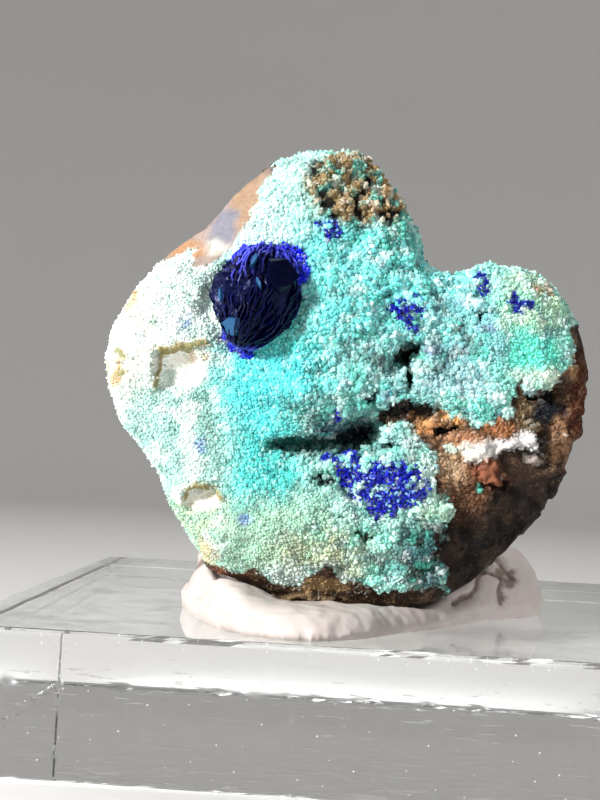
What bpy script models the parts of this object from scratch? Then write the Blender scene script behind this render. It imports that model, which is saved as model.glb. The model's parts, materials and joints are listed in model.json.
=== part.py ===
"""Raw azurite on a crusted stone, pressed into putty on a clear acrylic block.

The frame: +Z up, +X to the right of the stone's crusted face, which looks towards -Y.
The origin is the middle of the block's underside. Lengths are metres; MM turns millimetres into them.
"""

import math
import random

import bmesh
import bpy
import numpy as np
from mathutils import Euler, Matrix, Vector, noise

MM = 0.001
GAP = 0.3 * MM

# The clear block
BLOCK_SIDE = 42 * MM
BLOCK_HEIGHT = 8 * MM
BLOCK_EDGE = 0.35 * MM

# The stone's outline as seen from the front, clockwise from the top, as (x, z) in millimetres
STONE_OUTLINE = [
    (-4.4, 34.9), (-3.5, 35.2), (-1.5, 35.4), (0.4, 35.2), (1.1, 34.4), (1.8, 33.2), (2.8, 32.3),
    (3.4, 31.0), (4.1, 29.1), (5.5, 28.5), (6.9, 28.9), (8.6, 29.5), (10.1, 29.4), (11.2, 28.9),
    (12.2, 27.7), (13.3, 26.1), (13.8, 23.7), (13.8, 21.8), (13.5, 19.6), (12.5, 17.0), (11.1, 14.7),
    (9.0, 12.4), (7.4, 10.5), (5.5, 9.5), (3.2, 9.0), (0.3, 9.0), (-2.6, 9.4), (-5.2, 10.1),
    (-7.6, 11.0), (-9.0, 12.9), (-10.2, 15.0), (-10.6, 16.4), (-11.8, 17.9), (-13.1, 19.1),
    (-13.9, 21.6), (-13.8, 23.6), (-13.2, 25.5), (-12.5, 27.0), (-10.6, 29.2), (-8.8, 30.6),
    (-6.9, 33.0), (-5.3, 34.1),
]
SLAB_HALF = 4 * MM
RIM_Y = -12.6 * MM
RIM_TURN = 0.17
FACE_RISE = 2.2 * MM
BACK_DEPTH = 8.0 * MM
FRONT_ROUND = 1.7 * MM
FRONT_ROUND_LOW_RIGHT = 4.6 * MM
BACK_ROUND = 6.5 * MM
# The fuller edge begins where x - z passes this, in millimetres, and is full so much further on
LOW_RIGHT_START = -20
LOW_RIGHT_WIDTH = 16

# Swells (+) and dips (-) of the crusted face: name, x, z, half width, half height, rise, in millimetres
FACE_SWELLS = [
    ("top lobe", -2.0, 32.2, 3.0, 2.6, 0.6),
    ("middle swell", -0.6, 26.0, 4.6, 4.2, 1.0),
    ("lip over the fissure", -2.3, 21.0, 2.8, 1.5, 0.9),
    ("right lobe", 9.3, 25.6, 3.3, 3.0, 0.9),
    ("saddle", 5.6, 26.8, 1.3, 3.0, -0.4),
    ("belly", -2.0, 14.2, 4.6, 3.0, 1.1),
    ("left shoulder", -10.2, 24.5, 2.6, 3.6, 0.3),
    ("left foot", -8.2, 17.4, 2.4, 2.4, 0.3),
    ("shelf under the azurite patch", 2.3, 16.0, 2.8, 1.7, 0.5),
    ("pale knob", 5.3, 15.1, 1.0, 0.8, 0.5),
    ("white knob", 8.2, 19.2, 1.8, 0.9, 0.6),
    ("rusty knob", 7.7, 17.5, 0.9, 0.7, 0.5),
]

# Where the crust is missing and the brown stone shows, as (x, z) in millimetres
BARE_SIDE = [
    (14.5, 26.6), (12.8, 26.2), (13.0, 23.7), (11.1, 22.1), (10.0, 21.9), (9.4, 22.4), (9.4, 20.6),
    (7.9, 20.5), (6.0, 20.4), (3.9, 21.1), (2.1, 21.0), (1.7, 20.0), (3.3, 19.8), (5.2, 18.3),
    (5.3, 16.3), (6.2, 15.4),
    (5.4, 13.0), (6.0, 10.8), (6.5, 7.6), (15.1, 7.9),
]
BARE_FOOT = [
    (-8.5, 11.2), (-6.4, 11.5), (-4.4, 11.1), (-3.8, 10.3), (-2.4, 10.4), (-0.6, 11.2), (1.8, 10.7),
    (3.0, 10.3), (6.0, 10.4), (6.5, 7.5), (-8.3, 7.0),
]
BARE_SHOULDER = [
    (-5.1, 34.6), (-5.0, 34.0), (-5.4, 32.6), (-5.5, 31.4), (-6.4, 30.6), (-7.1, 29.3), (-8.2, 28.3),
    (-9.2, 29.0), (-11.6, 28.4), (-9.5, 32.5),
]
CRUST_STEP = 0.65 * MM
CRUST_SLOPE = 0.5 * MM
# Share of the knobs' height that the bare stone has
BARE_KNOBS = 0.35

# Hollows cut into the face: name, x, z, half width, half depth, half height, tilt in degrees
HOLLOWS = [
    ("fissure", -1.3, 18.6, 3.6, 2.6, 0.55, -5),
    ("cave", 0.9, 19.5, 1.7, 2.5, 1.0, -20),
    ("vug", 3.4, 24.0, 0.8, 1.6, 0.7, 30),
]
HOLLOW_SINK = 0.5 * MM
# Small pits of the rough top: x, z, radius, in millimetres
PITS = [(-1.9, 33.6, 0.45), (-0.7, 32.7, 0.5), (0.5, 33.3, 0.45), (-0.1, 31.9, 0.4), (1.5, 32.4, 0.4)]

# Square casts left by dissolved crystals: name, x, z, width and height in millimetres, tilt in degrees
CASTS = [
    ("upper cast", -9.6, 22.4, 2.5, 2.2, 8),
    ("lower cast", -7.9, 15.3, 2.0, 1.0, 15),
]
CAST_DEPTH = 0.8 * MM
CAST_WALL = 0.35 * MM
CAST_WALL_RISE = 0.3 * MM

STONE_CELL = 0.5 * MM
STONE_TRIANGLES = 4500
KNOB_SIZE = 1.7 * MM
KNOB_HEIGHT = 0.32 * MM

# How far the stone's form is swollen before it is pressed into the putty, and the sockets' clearance
PRESS_GAP = 1.6 * GAP
PRESS_CELL = 1.0 * MM
PRESS_TRIANGLES = 1400
SOCKET_GAP = 1.35 * GAP

# The putty: its outline on the block as (x, y) in millimetres, and the height of its front lip and its ends
PUTTY_OUTLINE = [
    (-7.1, -15.2), (-5.3, -17.8), (-2.9, -19.2), (-0.6, -19.2), (1.9, -16.9), (4.0, -13.6), (6.2, -10.4),
    (8.8, -6.4), (11.2, -3.9), (12.5, -1.8), (11.0, 0.4), (7.6, 1.0), (3.6, 0.2), (-0.6, -0.6), (-4.8, -0.4),
    (-8.4, -0.9), (-9.8, -3.2), (-9.7, -7.4), (-8.8, -11.2),
]
PUTTY_MIDDLE = (0.6, -8.8)
PUTTY_HALF = 2 * MM
PUTTY_LIP = 1.2 * MM
PUTTY_END = 4.5 * MM
# In millimetres: the ends start so far to either side of the middle and the high back so far behind it,
# and each climbs to its full height over the next stretch
PUTTY_END_START = 3.5
PUTTY_END_CLIMB = 7.0
PUTTY_BACK_START = 2.0
PUTTY_BACK_CLIMB = 4.0
PUTTY_ROUND = 1.9 * MM
PUTTY_ROUND_BACK = 3.0 * MM
PUTTY_DENT_SIZE = 2.2 * MM
PUTTY_DENT_SHARE = 0.12
PUTTY_BULGE = 0.35 * MM
PUTTY_CELL = 0.65 * MM
PUTTY_TRIANGLES = 1100

# The large azurite rosette
ROSETTE_MIDDLE = (-5.55, 25.9)
ROSETTE_RADIUS = 2.8 * MM
ROSETTE_PLATES = 15
ROSETTE_SPREAD = 156
ROSETTE_LEAN = 17
ROSETTE_SPINE_TILT = 35
# Shares of the rosette's radius: its core's half sizes, and how far its middle is sunk
ROSETTE_CORE = (0.8, 0.86, 0.92)
ROSETTE_SINK = 0.25
# Shares of one plate's reach: its width, height, thickness and distance from the spine
PLATE_WIDTH = 1.7
PLATE_HEIGHT = 2.2
PLATE_THICKNESS = 0.15
PLATE_OFFSET = 0.28
PLATE_SIDES = 9

# The small azurite groups: name, x, z, half width, half height, crystals, crystal length, seed
AZURITE_GROUPS = [
    ("azurite_patch", 2.3, 16.3, 2.3, 1.5, 13, 1.0, 3),
    ("azurite_middle", 3.2, 26.4, 1.0, 1.3, 7, 0.8, 5),
    ("azurite_upper_right", 7.5, 28.2, 0.5, 0.8, 4, 0.7, 7),
    ("azurite_far_right", 9.7, 27.3, 0.6, 0.6, 4, 0.7, 11),
    ("azurite_top", -1.4, 30.8, 0.6, 0.5, 4, 0.7, 13),
    ("azurite_ledge", -0.9, 17.3, 0.8, 0.4, 4, 0.6, 17),
]
GROUP_ROOT = 0.8 * MM


def clear_scene():
    for obj in list(bpy.data.objects):
        bpy.data.objects.remove(obj)


def new_collection(name):
    made = bpy.data.collections.new(name)
    bpy.context.scene.collection.children.link(made)
    return made


def link(obj, collection):
    for old in list(obj.users_collection):
        old.objects.unlink(obj)
    collection.objects.link(obj)
    return obj


def material(name, colour, roughness, alpha=1.0, transmission=0.0):
    made = bpy.data.materials.new(name)
    made.use_nodes = True
    shader = made.node_tree.nodes["Principled BSDF"]
    shader.inputs["Base Color"].default_value = (*colour, 1.0)
    shader.inputs["Roughness"].default_value = roughness
    shader.inputs["Alpha"].default_value = alpha
    shader.inputs["Transmission Weight"].default_value = transmission
    return made


def object_from(name, bm, collection):
    mesh = bpy.data.meshes.new(name)
    bm.to_mesh(mesh)
    bm.free()
    return link(bpy.data.objects.new(name, mesh), collection)


def bake(obj):
    """Replaces the object's mesh with its evaluated shape and removes its modifiers."""
    bpy.context.view_layer.update()
    graph = bpy.context.evaluated_depsgraph_get()
    mesh = bpy.data.meshes.new_from_object(obj.evaluated_get(graph))
    obj.modifiers.clear()
    obj.data = mesh
    return obj


def hide_cutter(obj):
    obj.hide_render = True
    obj.display_type = "WIRE"
    return obj


def remesh(obj, cell):
    """Rebuilds the surface as even cells, which also joins shapes that overlap."""
    modifier = obj.modifiers.new("even cells", "REMESH")
    modifier.mode = "VOXEL"
    modifier.voxel_size = cell
    return bake(obj)


def thin_out(obj, triangles):
    modifier = obj.modifiers.new("fewer faces", "DECIMATE")
    obj.data.calc_loop_triangles()
    modifier.ratio = min(1.0, triangles / len(obj.data.loop_triangles))
    return bake(obj)


def subtract(obj, cutter):
    """Cuts a closed shape out of a closed shape. A chain of cuts that overlap needs this solver."""
    modifier = obj.modifiers.new("cut " + cutter.name, "BOOLEAN")
    modifier.operation = "DIFFERENCE"
    modifier.solver = "MANIFOLD"
    modifier.object = hide_cutter(cutter)


def fuse(name, pieces, collection):
    """One solid from pieces that overlap."""
    whole = pieces[0]
    for piece in pieces[1:]:
        modifier = whole.modifiers.new("join", "BOOLEAN")
        modifier.operation = "UNION"
        modifier.object = piece
    bake(whole)
    for piece in pieces[1:]:
        bpy.data.objects.remove(piece)
    whole.name = name
    return link(whole, collection)


def points_of(mesh):
    flat = np.empty(len(mesh.vertices) * 3, np.float32)
    mesh.vertices.foreach_get("co", flat)
    return flat.reshape(-1, 3).astype(float)


def move_points(mesh, points):
    mesh.vertices.foreach_set("co", points.astype(np.float32).ravel())
    mesh.update()


def depth_inside(points, outline):
    """How far each point lies inside the closed outline; outside it is negative."""
    start = np.array(outline) * MM
    along = np.roll(start, -1, axis=0) - start
    from_start = points[:, None, :] - start[None]
    share = np.clip((from_start * along).sum(2) / (along**2).sum(1), 0, 1)
    distance = np.linalg.norm(from_start - share[..., None] * along, axis=2).min(1)
    x, y = points[:, 0, None], points[:, 1, None]
    end_y = start[:, 1] + along[:, 1]
    level = np.where(along[:, 1] == 0, 1e-12, along[:, 1])
    crossing = start[:, 0] + (y - start[:, 1]) * along[:, 0] / level
    crossed = ((start[:, 1] > y) != (end_y > y)) & (x < crossing)
    return np.where(crossed.sum(1) % 2 == 1, distance, -distance)


def rounded(depth, radius):
    """The height of a rounded edge, from 0 at the outline to 1 at the radius and beyond."""
    left = 1 - np.clip(depth / radius, 0, 1)
    return np.sqrt(1 - left**2)


def smooth(value):
    value = np.clip(value, 0, 1)
    return value * value * (3 - 2 * value)


def slab(name, outline, half_thickness, upright):
    """A plate of that outline, centred on the plane through the origin."""
    curve = bpy.data.curves.new(name, "CURVE")
    curve.dimensions = "2D"
    curve.fill_mode = "BOTH"
    curve.extrude = half_thickness
    curve.resolution_u = 3
    spline = curve.splines.new("BEZIER")
    spline.bezier_points.add(len(outline) - 1)
    for point, (x, y) in zip(spline.bezier_points, outline):
        point.co = (x * MM, y * MM, 0)
        point.handle_left_type = point.handle_right_type = "AUTO"
    spline.use_cyclic_u = True
    guide = bpy.data.objects.new(name + "_curve", curve)
    bpy.context.scene.collection.objects.link(guide)
    if upright:
        guide.rotation_euler = (math.pi / 2, 0, 0)
    bpy.context.view_layer.update()
    graph = bpy.context.evaluated_depsgraph_get()
    bm = bmesh.new()
    bm.from_mesh(bpy.data.meshes.new_from_object(guide.evaluated_get(graph)))
    bm.transform(guide.matrix_world)
    bmesh.ops.remove_doubles(bm, verts=bm.verts, dist=1e-6)
    bmesh.ops.recalc_face_normals(bm, faces=bm.faces)
    bpy.data.objects.remove(guide)
    return object_from(name, bm, bpy.context.scene.collection)


def rim_y(x):
    return RIM_Y + RIM_TURN * x


def bare_share(xz):
    """1 where the brown stone shows, 0 where the crust covers it."""
    depth = np.max([depth_inside(xz, edge) for edge in (BARE_SIDE, BARE_FOOT, BARE_SHOULDER)], axis=0)
    return smooth(depth / CRUST_SLOPE + 0.5)


def face_rise(xz):
    """How far the face stands out of the rim's plane."""
    rise = np.full(len(xz), FACE_RISE)
    for _, x, z, half_width, half_height, height in FACE_SWELLS:
        away = ((xz[:, 0] / MM - x) / half_width) ** 2 + ((xz[:, 1] / MM - z) / half_height) ** 2
        rise += height * MM * np.exp(-away)
    return rise - CRUST_STEP * bare_share(xz)


def front_round(xz):
    """The edge is tight round the crust and full over the brown lower right."""
    low_right = smooth((xz[:, 0] / MM - xz[:, 1] / MM - LOW_RIGHT_START) / LOW_RIGHT_WIDTH)
    return FRONT_ROUND + (FRONT_ROUND_LOW_RIGHT - FRONT_ROUND) * low_right


def face_y(x, z):
    """The face's depth at one place given in millimetres."""
    xz = np.array([[x, z]]) * MM
    rise = face_rise(xz) * rounded(depth_inside(xz, STONE_OUTLINE), front_round(xz))
    return float(rim_y(xz[0, 0]) - rise[0])


def knobs(points, normals, share):
    """Moves the points out into rounded lumps."""
    moved = points.copy()
    for index, (point, normal) in enumerate(zip(points, normals)):
        distances, _ = noise.voronoi(Vector(point) / KNOB_SIZE)
        dome = 1 - min(1.0, distances[0] * 1.3) ** 2
        slow = noise.noise(Vector(point) / (2.6 * KNOB_SIZE))
        moved[index] += normal * KNOB_HEIGHT * (share[index] * (dome - 0.5) + 0.7 * slow)
    return moved


def rough_stone():
    """The whole stone before anything is cut into it."""
    stone = remesh(slab("matrix", STONE_OUTLINE, SLAB_HALF, upright=True), STONE_CELL)
    points = points_of(stone.data)
    xz = points[:, [0, 2]]
    depth = depth_inside(xz, STONE_OUTLINE)
    side = np.clip(points[:, 1] / SLAB_HALF, -1, 1)
    front = face_rise(xz) * rounded(depth, front_round(xz))
    back = BACK_DEPTH * rounded(depth, BACK_ROUND)
    points[:, 1] = rim_y(points[:, 0]) + np.where(side < 0, side * front, side * back)
    move_points(stone.data, points)
    remesh(stone, STONE_CELL)
    points = points_of(stone.data)
    normals = np.array([vertex.normal for vertex in stone.data.vertices])
    crusted = (1 - bare_share(points[:, [0, 2]])) * smooth(-normals[:, 1] + 0.6)
    move_points(stone.data, knobs(points, normals, BARE_KNOBS + (1 - BARE_KNOBS) * crusted))
    return thin_out(stone, STONE_TRIANGLES)


def ball(name, middle, half_sizes, turn, collection, subdivisions=2):
    bm = bmesh.new()
    bmesh.ops.create_icosphere(bm, subdivisions=subdivisions, radius=1.0)
    bm.transform(Matrix.LocRotScale(Vector(middle), Euler(turn), Vector(half_sizes)))
    return object_from(name, bm, collection)


def box(name, middle, sizes, turn, collection):
    bm = bmesh.new()
    bmesh.ops.create_cube(bm, size=1.0)
    bm.transform(Matrix.LocRotScale(Vector(middle), Euler(turn), Vector(sizes)))
    return object_from(name, bm, collection)


def cut_hollows(stone, cutters):
    for name, x, z, half_width, half_depth, half_height, tilt in HOLLOWS:
        middle = (x * MM, face_y(x, z) + HOLLOW_SINK, z * MM)
        halves = (half_width * MM, half_depth * MM, half_height * MM)
        subtract(stone, ball(name, middle, halves, (0, math.radians(tilt), 0), cutters))
    for number, (x, z, radius) in enumerate(PITS, 1):
        middle = (x * MM, face_y(x, z), z * MM)
        halves = (radius * MM, 2 * radius * MM, radius * MM)
        subtract(stone, ball(f"pit_{number}", middle, halves, (0, 0.3 * number, 0), cutters, 1))


def shape_casts(stone, cutters):
    """Each cast keeps a thin raised wall along its top and its left side."""
    for name, x, z, width, height, tilt in CASTS:
        turn = (0, -math.radians(tilt), math.atan(RIM_TURN))
        middle = Vector((x * MM, face_y(x, z), z * MM))
        wall_middle = middle + Vector((-CAST_WALL / 2, 0, CAST_WALL / 2))
        wall_sizes = (width * MM + CAST_WALL, 2 * CAST_WALL_RISE, height * MM + CAST_WALL)
        join = stone.modifiers.new("wall of the " + name, "BOOLEAN")
        join.operation = "UNION"
        join.solver = "MANIFOLD"
        join.object = hide_cutter(box(name + " wall", wall_middle, wall_sizes, turn, cutters))
        sizes = (width * MM, 2 * CAST_DEPTH, height * MM)
        subtract(stone, box(name, middle, sizes, turn, cutters))


def build_stone(parts, cutters):
    stone = rough_stone()
    link(stone, parts)
    cut_hollows(stone, cutters)
    shape_casts(stone, cutters)
    stone.data.materials.append(material("crusted stone", (0.36, 0.68, 0.62), 0.75))
    return stone


def plate(name, width, height, thickness, collection):
    """A tabular crystal: a plate whose edge slants, facing along its own X."""
    bm = bmesh.new()
    bmesh.ops.create_cone(
        bm, cap_ends=True, segments=PLATE_SIDES, radius1=0.5, radius2=0.43, depth=1.0,
        matrix=Matrix.Rotation(math.pi / 2, 4, "Y"),
    )
    bm.transform(Matrix.Diagonal((thickness, width, height, 1.0)))
    return object_from(name, bm, collection)


def build_rosette(parts):
    """Plates fanned like the pages of a book that stands open, its spine sunk deeper at the top."""
    rng = random.Random(21)
    x, z = ROSETTE_MIDDLE
    middle = Vector((x * MM, face_y(x, z) + ROSETTE_SINK * ROSETTE_RADIUS, z * MM))
    lean = Matrix.Rotation(math.radians(ROSETTE_LEAN), 4, "Y")
    spine = Matrix.Rotation(-math.radians(ROSETTE_SPINE_TILT), 4, "X")
    whole = Matrix.Translation(middle) @ lean @ spine
    core = [share * ROSETTE_RADIUS for share in ROSETTE_CORE]
    pieces = [ball("rosette core", (0, 0, 0), core, (0, 0, 0), parts, 1)]
    pieces[0].data.transform(whole)
    for number in range(ROSETTE_PLATES):
        share = number / (ROSETTE_PLATES - 1) - 0.5
        turn = math.radians(share * ROSETTE_SPREAD + rng.uniform(-3, 3))
        reach = ROSETTE_RADIUS * (1.0 - 0.25 * abs(share)) * rng.uniform(0.93, 1.04)
        sizes = PLATE_WIDTH * reach, PLATE_HEIGHT * reach, PLATE_THICKNESS * reach
        crystal = plate("rosette plate", *sizes, parts)
        place = Matrix.Rotation(turn, 4, "Z") @ Matrix.Translation((0, -PLATE_OFFSET * reach, 0))
        roll = Matrix.Rotation(math.radians(rng.uniform(-20, 20)), 4, "X")
        crystal.data.transform(whole @ place @ roll)
        pieces.append(crystal)
    rosette = fuse("azurite_rosette", pieces, parts)
    rosette.data.materials.append(material("dark azurite", (0.01, 0.015, 0.13), 0.25))
    return rosette


def build_group(name, x, z, half_width, half_height, count, length, seed, parts):
    """A few short prisms that lean outward from one root sunk in the stone."""
    rng = random.Random(seed)
    middle = Vector((x * MM, face_y(x, z), z * MM))
    root = [half_width * MM, GROUP_ROOT, half_height * MM]
    pieces = [ball(name + " root", middle, root, (0, 0, 0), parts, 2)]
    for _ in range(count):
        spread = math.sqrt(rng.random()) * 0.8 * MM
        angle = rng.uniform(0, math.tau)
        across = Vector((half_width * math.cos(angle), 0, half_height * math.sin(angle))) * spread
        size = length * MM * rng.uniform(0.75, 1.2)
        bm = bmesh.new()
        bmesh.ops.create_cone(
            bm, cap_ends=True, segments=6, radius1=0.3 * size, radius2=0.17 * size, depth=size,
            matrix=Matrix.Rotation(math.pi / 2, 4, "X"),
        )
        tilt = Euler((rng.uniform(-0.6, 0.6), rng.uniform(0, 1.0), rng.uniform(-0.6, 0.6)))
        foot = middle + across + Vector((0, -0.45 * size, 0))
        bm.transform(Matrix.Translation(foot) @ tilt.to_matrix().to_4x4())
        pieces.append(object_from(name + " crystal", bm, parts))
    return fuse(name, pieces, parts)


def seat(stone, crystal, cutters):
    """Cuts the crystal's socket into the stone, a gap wider than the crystal all round."""
    bm = bmesh.new()
    bm.from_mesh(crystal.data)
    hull = bmesh.ops.convex_hull(bm, input=bm.verts)
    loose = [item for item in hull["geom_interior"] if isinstance(item, bmesh.types.BMVert)]
    bmesh.ops.delete(bm, geom=loose, context="VERTS")
    outside = [item for item in hull["geom"] if isinstance(item, bmesh.types.BMFace)]
    inside = [face for face in bm.faces if face not in set(outside)]
    bmesh.ops.delete(bm, geom=inside, context="FACES")
    bmesh.ops.dissolve_degenerate(bm, edges=bm.edges, dist=0.05 * MM)
    bmesh.ops.recalc_face_normals(bm, faces=bm.faces)
    centre = sum((vertex.co for vertex in bm.verts), Vector()) / len(bm.verts)
    for vertex in bm.verts:
        away = vertex.co - centre
        vertex.co += away.normalized() * SOCKET_GAP
    subtract(stone, object_from(crystal.name + "_socket", bm, cutters))


def build_azurite(stone, parts, cutters):
    blue = material("azurite", (0.02, 0.05, 0.62), 0.3)
    seat(stone, build_rosette(parts), cutters)
    for row in AZURITE_GROUPS:
        group = build_group(*row, parts)
        group.data.materials.clear()
        group.data.materials.append(blue)
        seat(stone, group, cutters)


def stone_press(stone, cutters):
    """The stone's plain form, a gap larger all round: the shape it presses into the putty."""
    press = link(bpy.data.objects.new("stone_press", stone.data.copy()), cutters)
    press.data.materials.clear()
    remesh(press, PRESS_CELL)
    swell = press.modifiers.new("gap", "DISPLACE")
    swell.strength = PRESS_GAP
    swell.mid_level = 0.0
    bake(press)
    return thin_out(press, PRESS_TRIANGLES)


def putty_height(xy):
    """Low along the front lip, high at both ends and behind the stone."""
    across, along = (xy / MM - PUTTY_MIDDLE).T
    ends = smooth((np.abs(across) - PUTTY_END_START) / PUTTY_END_CLIMB)
    behind = smooth((along - PUTTY_BACK_START) / PUTTY_BACK_CLIMB)
    return PUTTY_LIP + (PUTTY_END - PUTTY_LIP) * np.maximum(ends, behind)


def build_putty(press, parts):
    putty = remesh(slab("putty", PUTTY_OUTLINE, PUTTY_HALF, upright=False), PUTTY_CELL)
    points = points_of(putty.data)
    xy = points[:, :2]
    depth = depth_inside(xy, PUTTY_OUTLINE)
    up = np.clip(points[:, 2] / PUTTY_HALF, -1, 1) * 0.5 + 0.5
    dents = np.array([noise.noise(Vector((x, y, 0)) / PUTTY_DENT_SIZE) for x, y in xy])
    back = smooth((xy[:, 1] / MM - PUTTY_MIDDLE[1]) / (PUTTY_BACK_START + PUTTY_BACK_CLIMB))
    radius = PUTTY_ROUND + (PUTTY_ROUND_BACK - PUTTY_ROUND) * back
    height = putty_height(xy) * (1 + PUTTY_DENT_SHARE * dents) * (0.25 + 0.75 * rounded(depth, radius))
    points[:, 2] = BLOCK_HEIGHT + GAP + up * height
    bulge = PUTTY_BULGE * np.sin(np.pi * up) * (depth < PUTTY_BULGE)
    outward = xy - np.array(PUTTY_MIDDLE) * MM
    points[:, :2] += outward / np.linalg.norm(outward, axis=1)[:, None] * bulge[:, None]
    move_points(putty.data, points)
    thin_out(putty, PUTTY_TRIANGLES)
    link(putty, parts)
    subtract(putty, press)
    putty.data.materials.append(material("putty", (0.86, 0.82, 0.79), 0.6))
    return putty


def build_block(parts):
    middle = (0, 0, BLOCK_HEIGHT / 2)
    block = box("acrylic_block", middle, (BLOCK_SIDE, BLOCK_SIDE, BLOCK_HEIGHT), (0, 0, 0), parts)
    edge = block.modifiers.new("polished edge", "BEVEL")
    edge.width = BLOCK_EDGE
    edge.segments = 2
    block.data.materials.append(material("clear acrylic", (0.95, 0.96, 0.97), 0.05, transmission=1.0))
    return block


def main():
    clear_scene()
    parts = new_collection("raw azurite")
    cutters = new_collection("cutters")
    build_block(parts)
    stone = build_stone(parts, cutters)
    build_putty(stone_press(stone, cutters), parts)
    build_azurite(stone, parts, cutters)


main()
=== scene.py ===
"""Looks of a raw azurite specimen: the crusted stone, its crystals, the putty and the clear block.

The file is laid out as an add-on and is run as a script. The packed model is the fixed frame, and every
piece is built round it, in metres, with +Z up. The stone's crusted face looks towards -Y.
"""

import json
import math
import random

import bmesh
import bpy
import numpy as np
from bpy.props import FloatProperty, FloatVectorProperty, IntProperty, PointerProperty
from mathutils import Euler, Matrix, Vector, noise

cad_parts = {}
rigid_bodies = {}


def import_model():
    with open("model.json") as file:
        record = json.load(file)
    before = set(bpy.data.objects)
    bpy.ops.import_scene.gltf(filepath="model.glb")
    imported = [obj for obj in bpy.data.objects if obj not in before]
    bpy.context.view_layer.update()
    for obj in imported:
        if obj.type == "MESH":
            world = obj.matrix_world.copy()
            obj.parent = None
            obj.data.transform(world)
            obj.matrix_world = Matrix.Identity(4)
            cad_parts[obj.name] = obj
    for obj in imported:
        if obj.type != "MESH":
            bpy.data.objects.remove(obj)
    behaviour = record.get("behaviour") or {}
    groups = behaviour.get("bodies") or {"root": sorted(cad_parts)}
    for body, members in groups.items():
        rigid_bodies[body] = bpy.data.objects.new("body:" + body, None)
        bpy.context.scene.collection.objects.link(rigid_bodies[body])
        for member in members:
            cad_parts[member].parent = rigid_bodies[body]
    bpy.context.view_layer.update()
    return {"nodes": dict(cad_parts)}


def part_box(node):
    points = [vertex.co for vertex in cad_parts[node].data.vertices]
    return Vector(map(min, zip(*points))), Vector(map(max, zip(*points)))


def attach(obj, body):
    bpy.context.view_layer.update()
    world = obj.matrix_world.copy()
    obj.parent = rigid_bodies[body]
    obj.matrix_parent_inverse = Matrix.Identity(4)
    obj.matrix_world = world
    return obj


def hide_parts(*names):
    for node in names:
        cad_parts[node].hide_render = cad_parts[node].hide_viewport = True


bl_info = {
    "name": "Raw azurite specimen",
    "version": (1, 0, 0),
    "blender": (4, 5, 0),
    "location": "View3D > Sidebar > Azurite",
    "description": "Builds the stone, crystals, putty and clear block of a raw azurite specimen",
    "category": "Object",
}

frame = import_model()
BODY = "root"
MM = 0.001

# Regions of the face where the crust is missing, as outlines of (x, z) in millimetres
BARE_SIDE = [
    (14.5, 26.6), (12.7, 26.3), (13.0, 23.7), (12.0, 23.0), (11.1, 22.1), (10.6, 21.7), (10.0, 21.9),
    (9.4, 22.7), (9.3, 21.8), (9.4, 20.6), (7.9, 20.5), (7.4, 19.9), (6.5, 20.4), (6.0, 20.2), (5.5, 20.8),
    (4.9, 21.0), (3.9, 21.1), (2.1, 21.1), (1.6, 20.5), (1.9, 19.8), (3.3, 19.8), (4.5, 19.2), (5.2, 18.3),
    (5.3, 16.3), (6.2, 15.9), (6.2, 14.8), (5.8, 14.1), (5.3, 13.0), (5.9, 11.8), (6.2, 10.2), (6.5, 7.6),
    (15.1, 7.9),
]
BARE_FOOT = [
    (-8.5, 11.2), (-7.0, 11.5), (-6.4, 11.5), (-5.5, 11.0), (-4.4, 11.1), (-3.8, 10.3), (-2.4, 10.4), (-1.9, 11.0),
    (-0.6, 11.2), (0.3, 10.8), (1.8, 10.7), (3.0, 10.3), (4.0, 10.4), (6.0, 10.4), (6.5, 7.5), (-8.3, 7.0),
]
BARE_SHOULDER = [
    (-5.1, 34.6), (-5.0, 34.0), (-5.4, 32.6), (-5.5, 31.4), (-6.4, 30.6), (-7.1, 29.3), (-8.2, 28.3), (-9.0, 28.5),
    (-9.2, 29.2), (-10.0, 28.8), (-11.6, 28.4), (-9.5, 32.5),
]

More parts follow.
